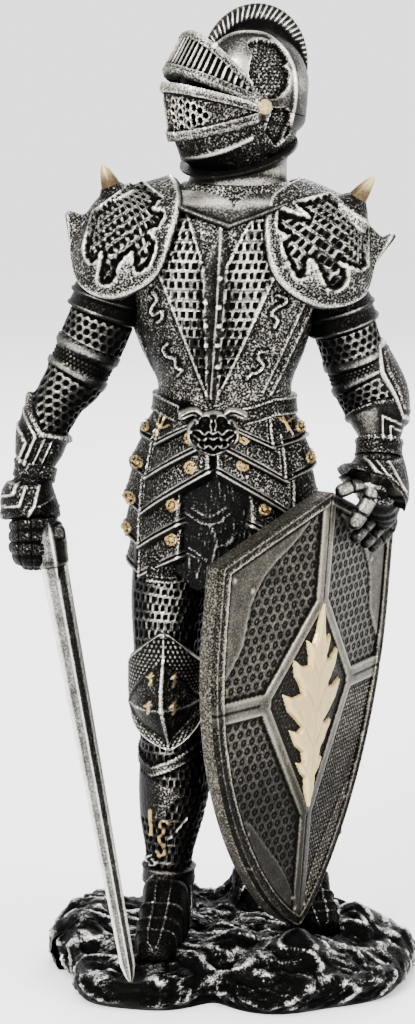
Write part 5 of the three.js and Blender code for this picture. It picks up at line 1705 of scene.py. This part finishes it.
@dataclass
class Pauldrons(Assembly):
    """Both shoulder domes with their horns and scrolled border plates."""

    def point(self, middle: Field, pole: Field, edge: Field, down: Field, out: Field) -> Field:
        """Points of a dome.

        Args:
            middle: the dome's middle.
            pole: from the middle to the pole.
            edge: from the middle to the rim, for each column.
            down: 0 at the pole and 1 at the rim.
            out: distance off the dome.

        Returns:
            The points.
        """
        one, two = unit(pole)[None, None], unit(edge)
        turn = np.arccos(np.clip((one * two).sum(-1), -1, 1))
        ray = (np.sin((1 - down) * turn) / np.sin(turn))[..., None] * one
        ray = ray + (np.sin(down * turn) / np.sin(turn))[..., None] * two
        oval = 1 / np.sqrt(((ray / np.array([12.6, 17, 16.6])) ** 2).sum(-1))
        length = mix(oval, np.linalg.norm(edge, axis=-1), down ** 3) + out
        return middle + ray * length[..., None]

    def dome(self, name: str, centre: Tuple3, rim: Sequence[Tuple3], root: Tuple3, links: Line,
             hand: int) -> Piece:
        """A shoulder dome.

        Args:
            name: the piece's name.
            centre: the dome's middle.
            rim: the rim over the front half, from beside the neck to the wing at the side.
            root: the horn's root, which is the pole.
            links: outline of the mail on the front view.
            hand: -1 for the figure's right shoulder, 1 for the left.

        Returns:
            The piece.
        """
        middle = np.array(centre)
        back = [(x, 2 - 0.94 * y, z) for x, y, z in rim[-2:0:-1]]
        turn = np.linspace(0, 1, 251)
        edge = spline([*rim, *back], turn, closed=True)[None] - middle
        down = np.concatenate([[0], np.linspace(0.001, 1, 88), [1.03, 1.03]])[:, None] * np.ones((1, 251))
        out = np.zeros_like(down)
        out[-2] = -2.2
        edge = np.broadcast_to(edge, (*down.shape, 3))
        points = self.point(middle, np.array(root) - middle, edge, down, out)
        dip = (-36.4, 237.5) if hand < 0 else (52.2, 233.5)
        points[..., 2] -= 3.0 * bump(np.hypot(points[..., 0] - dip[0], points[..., 2] - dip[1]), 0, 3.6)
        points[-1] = middle
        points = points[::-1, ::-1] if hand < 0 else points[::-1]
        down = down[::-1]
        skin = Skin(points)
        x, z = skin.x, skin.z
        plate = 1 - skin.within(links)
        inner = 0.66 + 0.05 * np.sin(skin.y * 0.9)
        rear = np.clip(ramp(down, inner - 0.02, inner + 0.02) + ramp(down, 0.33, 0.3), 0, 1)
        plate = mix(plate, rear, ramp(skin.y, -1.5, 1.0))
        ray = unit(points - middle)
        tilt = 0.62 * hand
        off = np.arccos(np.clip(-ray[..., 1], -1, 1))
        scale = 17.5 * off / np.maximum(np.sin(off), 0.05)
        along = (ray[..., 0] * math.cos(tilt) - ray[..., 2] * math.sin(tilt)) * scale
        over = (ray[..., 0] * math.sin(tilt) + ray[..., 2] * math.cos(tilt)) * scale
        calm = ramp(down, 0.06, 0.12) * ramp(down, 1.0, 0.96)
        skin.carve(mail(along, over, 2.15, 2.8, 0.85), 0.95, (1 - plate) * calm)
        skin.carve(plate, 1.0, calm)
        border = line_distance(x, z, [*links, links[0]], False)
        shown = skin.front(-0.1, 0.1) * calm
        bead = bump(border, 0, 0.42) * shown
        skin.carve(bead, 0.6)
        skin.carve(bump(border, 1.1, 0.45), -0.5, shown * (1 - plate))
        skin.carve(bump(down, 0.985, 0.016), 0.6)
        skin.grain(0.12, plate * calm)
        skin.pits = skin.pits * (1 - 0.6 * bead)
        skin.base = 0.42 + 0.04 * plate + (0.08 + 0.12 * ramp(z, 234, 240)) * bump(down, 0.985, 0.015) + 0.04 * bead
        # Painted light: the mail darker where it turns away from the viewer.
        skin.base = skin.base - 0.02 - 0.06 * (1 - plate) * (1 - bump(off, 0.5, 0.7))
        return skin.build(name, Metal.SILVER, 0.9, 6)

    def horn(self, name: str, places: Sequence[Tuple3], radii: Sequence[float]) -> list[Piece]:
        """A horn with the stippled cone and the collar under it.

        Args:
            name: the pieces' name.
            places: the middles of the collar's foot and top, the horn's foot and its point.
            radii: the radii there.

        Returns:
            The pieces.
        """
        cone = Limb([(*p, r, r) for p, r in zip(places[:3], radii[:3])])
        skin = cone.tube(np.linspace(0, 1, 24), lambda angle, share: 0.6 * ramp(share, 0.52, 0.48), step=0.4)
        skin.grain(0.16)
        skin.base = (0.34 + 0.24 * ramp(skin.share, 0.55, 0.5)
                     + 0.3 * (bump(skin.share, 0.46, 0.06) + bump(skin.share, 0.1, 0.06)))
        low, high = np.array(places[2]), np.array(places[3])
        middles = [low + (high - low) * share for share in (-0.1, 0.4, 0.8, 1.0)]
        sizes = [radii[2] * size for size in (1.0, 0.72, 0.42, 0.16)]
        point = Limb([(*p, r, r) for p, r in zip(middles, sizes)]).tube(np.linspace(0, 1, 28), 0.0)
        point.base = 0.22 + 0.5 * ramp(point.share, 0.1, 0.9)
        return [skin.build(f"{name}_cone", Metal.SILVER, 0.9), point.build(f"{name}_horn", Metal.BRASS, 1.0)]

    def build(self) -> None:
        """Models both pauldrons."""
        self.keep(self.dome("pauldron_right", (-24.5, 0, 229), RIGHT_RIM, (-29.4, -3, 244), RIGHT_LINKS, -1))
        self.keep(self.dome("pauldron_left", (34.5, 0, 227.5), LEFT_RIM, (44.2, -3, 241), LEFT_LINKS, 1))
        self.keep(*self.horn("pauldron_right",
                             ((-26.4, -3.4, 240.4), (-27.6, -3.6, 243.4), (-28.9, -3.8, 246.6), (-31.2, -4, 252.8)),
                             (6.8, 5.6, 3.1)))
        self.keep(
            *self.horn(
                "pauldron_left", ((40.6, -3.4, 236.6), (42.8, -3.6, 239.8), (44.9, -3.8, 243.0), (49.6, -4, 249.2)),
                (7.4, 6.2, 3.0)))


# Helmet

# Dents in the side plates: the upper one is drawn as a curve through its points
LOWER_DENT: Line = ((19.2, 269.6), (23.2, 269.8), (24.4, 267.6), (24.4, 262), (20, 258.6), (17, 262.6))
UPPER_DENT: Line = (
    (11.9, 288.2), (15.2, 289.4), (19.4, 288.4), (22.6, 285.6), (23.8, 282.9), (22.9, 281.7), (23.9, 280.4),
    (23.9, 276.5), (22.1, 273.7), (19.1, 272.2), (15.4, 273), (13.2, 275.6), (12.2, 278.8), (12.5, 282.6),
    (13.1, 284.6))


@dataclass
class Helmet(Assembly):
    """The closed helmet with its fluted crest."""

    middle: tuple[float, float] = (11.5, 0.5)
    turn: float = -64 * DEGREE
    pivot: Tuple3 = (1.8, 14.4, 270.0)

    def put(self, ahead: Field, left: Field, z: Field) -> Field:
        """Points from the helmet's own forward and left."""
        s, c = math.sin(self.turn), math.cos(self.turn)
        return np.stack(
            [self.middle[0] + ahead * s + left * c, self.middle[1] - ahead * c + left * s, z + 0 * ahead], -1)

    def skull(self) -> Piece:
        """The skull, the brow, the visor and the bevor as one carved form."""
        # for each level: how far it reaches ahead and its height there, half width and height, behind and height
        rows = np.array([
            (12.5, 249, 11, 249, 10.5, 249), (20.4, 254.8, 13.6, 259.6, 13.6, 257), (22.6, 260.2, 14.2, 266, 15.6, 262),
            (24, 260.4, 15, 266.3, 15.6, 262.2), (26.4, 276.3, 15.2, 270.2, 18.6, 266),
            (20.5, 276.4, 14.2, 270.3, 18.6, 266.1), (20, 280, 14.2, 270.5, 18.7, 266.4),
            (25.7, 280.4, 15.4, 270.6, 18.7, 266.5), (24.6, 282.4, 15.3, 271.1, 18.8, 267.2),
            (20.3, 289.6, 14.9, 272.8, 18.9, 268.4), (19.2, 291.4, 14.8, 273.4, 19, 269),
            (14, 286.2, 14.2, 273.6, 19.4, 271), (12, 287.4, 13.4, 281, 19.6, 279), (7.6, 290.6, 10, 287.8, 15.6, 287),
            (3, 292.8, 5, 292, 8, 292.2)])
        # how many rows of points lie between one level and the next
        counts = (14, 13, 4, 36, 4, 7, 4, 6, 20, 6, 5, 16, 22, 14)
        q = np.concatenate([np.linspace(i, i + 1, n, endpoint=False) for i, n in enumerate(counts)] + [[14.0]])
        smooth = np.stack([np.interp(q, np.arange(15), rows[:, k]) for k in range(6)], 1)
        crown = np.stack([spline(rows[11:], (q[q >= 11] - 11) / 3)[:, k] for k in range(6)], 1)
        smooth[q >= 11] = crown
        low = np.clip(q - 3, 0, 1)
        smooth[:, 4] += 3.0 * low * (1 - low)
        smooth = np.vstack([smooth[:1], smooth, smooth[-1:]])
        turn = np.linspace(-math.pi, math.pi, 317)[None, :]
        angle = (turn - 0.4 * np.sin(turn)) * np.ones((len(smooth), 1))
        q, edge, faced = by_row(q, angle), shut_ends(angle), np.cos(angle) > 0
        ahead = np.where(faced, smooth[:, 0:1] - 3, smooth[:, 4:5] + 3)
        tall = np.where(faced, smooth[:, 1:2], smooth[:, 5:6])
        height = mix(smooth[:, 3:4], tall, np.abs(np.cos(angle)))
        z = np.where(edge > 0, height, np.where(q > 7, 293.4, 249))
        nose = np.clip(1 - np.abs(angle) / 0.16, 0, 1) * ramp(q, 1, 2) * ramp(q, 5, 4.6)
        forward = np.where(edge > 0, 3 + (ahead + 0.9 * nose) * np.cos(angle), -2)
        left = smooth[:, 2:3] * np.sin(angle) * edge
        skin = Skin(self.put(forward, left, z))
        skin.angle = angle
        x, z, face = skin.x, skin.z, ramp(np.abs(angle), 1.62, 1.5)
        run = skin.run
        far = [np.abs(run - run[np.argmin(np.abs(q[:, 0] - level))]) for level in (3.0, 4.0, 7.0, 10.0)]
        visor, brow = ramp(q, 2.9, 3) * ramp(q, 4.1, 4) * face, ramp(q, 6.9, 7) * ramp(q, 10.1, 10) * face
        rims = np.clip(visor * (ramp(far[0], 2.6, 2.2) + ramp(far[1], 2.2, 1.8))
                       + brow * (ramp(far[2], 2.3, 1.9) + ramp(far[3], 1.9, 1.6)), 0, 1)
        ribs = brow * (1 - rims)
        skin.carve(rims, 0.9)
        skin.carve(ramp(np.cos(70 * angle), -0.2, 0.7), 0.8, ribs)
        places = (
            (-9.82, 271.44), (-7.76, 271.14), (-5.71, 270.27), (-3.96, 269.68), (-2.20, 268.95), (-0.59, 267.63),
            (-9.82, 269.10), (-7.76, 268.95), (-5.71, 267.92), (-3.96, 267.34), (-2.20, 266.29), (-9.52, 266.90),
            (-7.47, 266.46), (-5.42, 265.29), (-3.96, 265.58), (-9.08, 264.71), (-7.32, 264.24), (-8.94, 262.95))
        for at in places:
            away = np.hypot(x - at[0], z - at[1]) + 9 * (skin.y > 0)
            column, row = np.unravel_index(np.argmin(away), away.shape)[::-1]
            near = np.hypot((np.abs(angle) - abs(angle[row, column])) * 21, z - z[row, column])
            skin.carve(ramp(near, 0.95, 0.6), -1.5, visor)
            skin.carve(bump(near, 1.15, 0.25), 0.35, visor)
        kidney = spline(UPPER_DENT, np.linspace(0, 1, 120), closed=True)
        x, y, _ = np.moveaxis(self.put(forward, np.abs(left), z), -1, 0)
        dent = blurred((inside(x, z, kidney) | inside(x, z, LOWER_DENT)).astype(float), 1, True) * (y < 6)
        skin.carve(dent, -0.9)
        skin.carve(pierced(skin.angle * 17, z, 1.3, 0.36) - 1, 0.5, dent)
        skin.carve(bump(dent, 0.25, 0.25), 0.4)
        ridge = skin.raise_line([(-7.2, 254.6), (3, 256.8), (12.8, 260.9)], 1.4, 0.7, skin.front(-0.1, 0.1))
        channel = bump(line_distance(x, z,
                                     [(1.6, 287.0), (6.6, 290.4), (12.2, 291.4), (17.2, 290.6), (22.2, 286.6),
                                      (25, 281.6), (26, 275.5), (24.6, 266), (22, 260)]), 0, 0.45)
        skin.carve(channel, 0.7)
        bevor = ramp(q, 3, 2.9)
        skin.grain(0.15, np.clip(bevor + dent + 0.7 * visor, 0, 1) * (1 - ridge) * (1 - rims))
        # The bright patches on the side plates are polish and a painted highlight.
        polish_and_sheen = bump(np.hypot((x - 9) * 0.8, z - 280.5), 0, 3.6)
        skin.pits = mix(skin.pits, 0.7, rims)
        plates = (bump(np.hypot((x - 9.2) * 1.3, z - 281.5), 0, 4.6)
                  + 0.7 * bump(np.hypot((x - 27) * 1.4, z - 277), 0, 5))
        skin.base = (0.45 + 0.02 * rims - 0.04 * dent
                     + 0.34 * np.clip(polish_and_sheen + plates, 0, 1) * (1 - brow) * (1 - dent) * (1 - bevor) + 0.14 * channel)
        skin.base = skin.base - bevor * (0.06 + 0.1 * ramp(q, 1, 0.8)) + 0.16 * ridge
        # Painted shade: the sight between the visor and the brow is nearly black in front.
        skin.light = 1 - 0.85 * ramp(q, 4.9, 5.1) * ramp(q, 7.0, 6.8) * face
        return skin.build("helmet", Metal.SILVER, 0.8)

    def crest(self) -> Piece:
        """The fluted comb over the skull, a wedge drawn along an arc."""
        rows, columns = 293, 32
        angle = by_row(np.linspace(34 * DEGREE, 214 * DEGREE, rows))
        turn = np.linspace(-math.pi, math.pi, columns + 1)[None, :]
        rise = 6.8 * np.clip(np.cos(1.05 * (angle - 93 * DEGREE)), 0, 1) ** 1.4
        behind = ramp(angle, 180 * DEGREE, 214 * DEGREE)
        top, inner = 17.2 + rise - 3.6 * behind, 12.0 - behind
        size = (np.abs(np.cos(turn)) ** 4 + np.abs(np.sin(turn)) ** 4) ** -0.25
        up = 0.5 * (1 + size * np.cos(turn))
        half = mix(3.2, 1.2, np.clip(up, 0, 1)) * size * np.sin(turn)
        edge = shut_ends(angle + turn)
        radius = mix(mix(inner, top, 0.5), mix(inner, top, np.clip(up, 0, 1)), edge)
        foot = 17.4 + 0.24 * rise
        lean = angle + 0.027 * (radius - foot)
        points = self.put(-2.5 + radius * np.cos(lean), half * edge, 276 + radius * np.sin(lean))
        skin = Skin(points)
        ribbed = ramp(radius, foot, foot + 0.5) * edge
        flute = np.cos(78 * angle)
        skin.carve(ramp(flute, 0.1, 0.9), 0.4, ribbed * ramp(np.abs(np.sin(turn)) + 0 * radius, 0.5, 0.75))
        skin.carve(ribbed, 0.3)
        skin.base = 0.4 + 0.22 * ramp(flute, 0.3, 0.95) * ribbed - 0.14 * (1 - ribbed)
        return skin.build("helmet_crest", Metal.SILVER, 0.8)

    def knob(self, hand: int) -> Piece:
        """A pivot knob from an eight-sided cylinder."""
        knob = added(
            f"helmet_pivot_{SIDES[hand]}", bpy.ops.mesh.primitive_cylinder_add, vertices=8, radius=2.5, depth=2.6)
        bpy.ops.object.mode_set(mode="EDIT")
        bpy.ops.mesh.select_all(action="SELECT")
        bpy.ops.mesh.bevel(offset=0.85, segments=3)
        bpy.ops.object.mode_set(mode="OBJECT")
        x, y, z = places_of(knob).T
        move_to(knob, self.put(self.pivot[0] + x, hand * (self.pivot[1] + 1.0 + z), self.pivot[2] + y))
        bpy.ops.object.mode_set(mode="EDIT")
        bpy.ops.mesh.select_all(action="SELECT")
        bpy.ops.mesh.normals_make_consistent(inside=False)
        bpy.ops.object.mode_set(mode="OBJECT")
        dress(knob, Metal.BRASS)
        return knob

    def build(self) -> None:
        """Models the helmet."""
        self.keep(self.skull(), self.crest(), self.knob(-1), self.knob(1))


# Studio


@dataclass
class Studio:
    """The floor, the lights and the camera at the photograph's angle."""

    distance: float = 0.8  # metres from the camera to its target
    elevation: float = 10.0  # degrees that it looks down
    target: Tuple3 = (0.0, 0.0, 0.147)
    lens: float = 91.8  # millimetres, on a sensor of 36

    def floor(self) -> None:
        """A flat pale floor."""
        floor = added("floor", bpy.ops.mesh.primitive_plane_add, size=6)
        made = bpy.data.materials.new("pale_floor")
        made.use_nodes = True
        shader = made.node_tree.nodes["Principled BSDF"].inputs
        shader["Base Color"].default_value = (0.95, 0.95, 0.95, 1)
        shader["Roughness"].default_value = 0.9
        floor.data.materials.append(made)

    def light(self, name: str, at: Tuple3, size: float, power: float) -> None:
        """An area light that looks at the figurine.

        Args:
            name: the light's name.
            at: its place in metres.
            size: its side in metres.
            power: its power in watts.
        """
        bpy.ops.object.light_add(type="AREA", location=at)
        light = bpy.context.object
        light.name = name
        light.data.size = size
        light.data.energy = power
        aim = np.array(self.target) - np.array(at)
        light.rotation_euler = (math.atan2(math.hypot(aim[0], aim[1]), -aim[2]), 0, math.atan2(-aim[0], aim[1]))

    def camera(self) -> None:
        """The camera, as the photograph was taken."""
        tilt = self.elevation * DEGREE
        at = (self.target[0], self.target[1] - self.distance * math.cos(tilt),
              self.target[2] + self.distance * math.sin(tilt))
        bpy.ops.object.camera_add(location=at, rotation=(math.pi / 2 - tilt, 0, 0))
        camera = bpy.context.object
        camera.data.lens = self.lens
        camera.data.sensor_width = 36
        camera.data.clip_start = 0.01
        bpy.context.scene.camera = camera

    def build(self) -> None:
        """Sets up the whole studio."""
        self.camera()
        self.floor()
        for name, at, size, power in (
                ("key_light", (-0.7, -1.2, 1.0), 0.45, 46), ("fill_light", (1.1, -0.9, 0.6), 0.5, 19),
                ("rim_light", (0.3, 1.2, 1.0), 0.8, 20), ("top_light", (0.0, -0.2, 1.6), 0.8, 16)):
            self.light(name, at, size, power)
        world = bpy.data.worlds.new("studio")
        world.use_nodes = True
        light = world.node_tree.nodes["Background"].inputs
        light["Color"].default_value = (1, 1, 1, 1)
        light["Strength"].default_value = 2.2
        bpy.context.scene.world = world


def main() -> None:
    """Builds the studio and the figurine, piece by piece."""
    logging.basicConfig(level=logging.INFO, format="%(message)s")
    Studio().build()
    for assembly in (Shield(), Sword(), Ground(), Legs(), Skirt(), Torso(), Arms(), Pauldrons(), Helmet()):
        assembly.place()


if __name__ == "__main__":
    main()
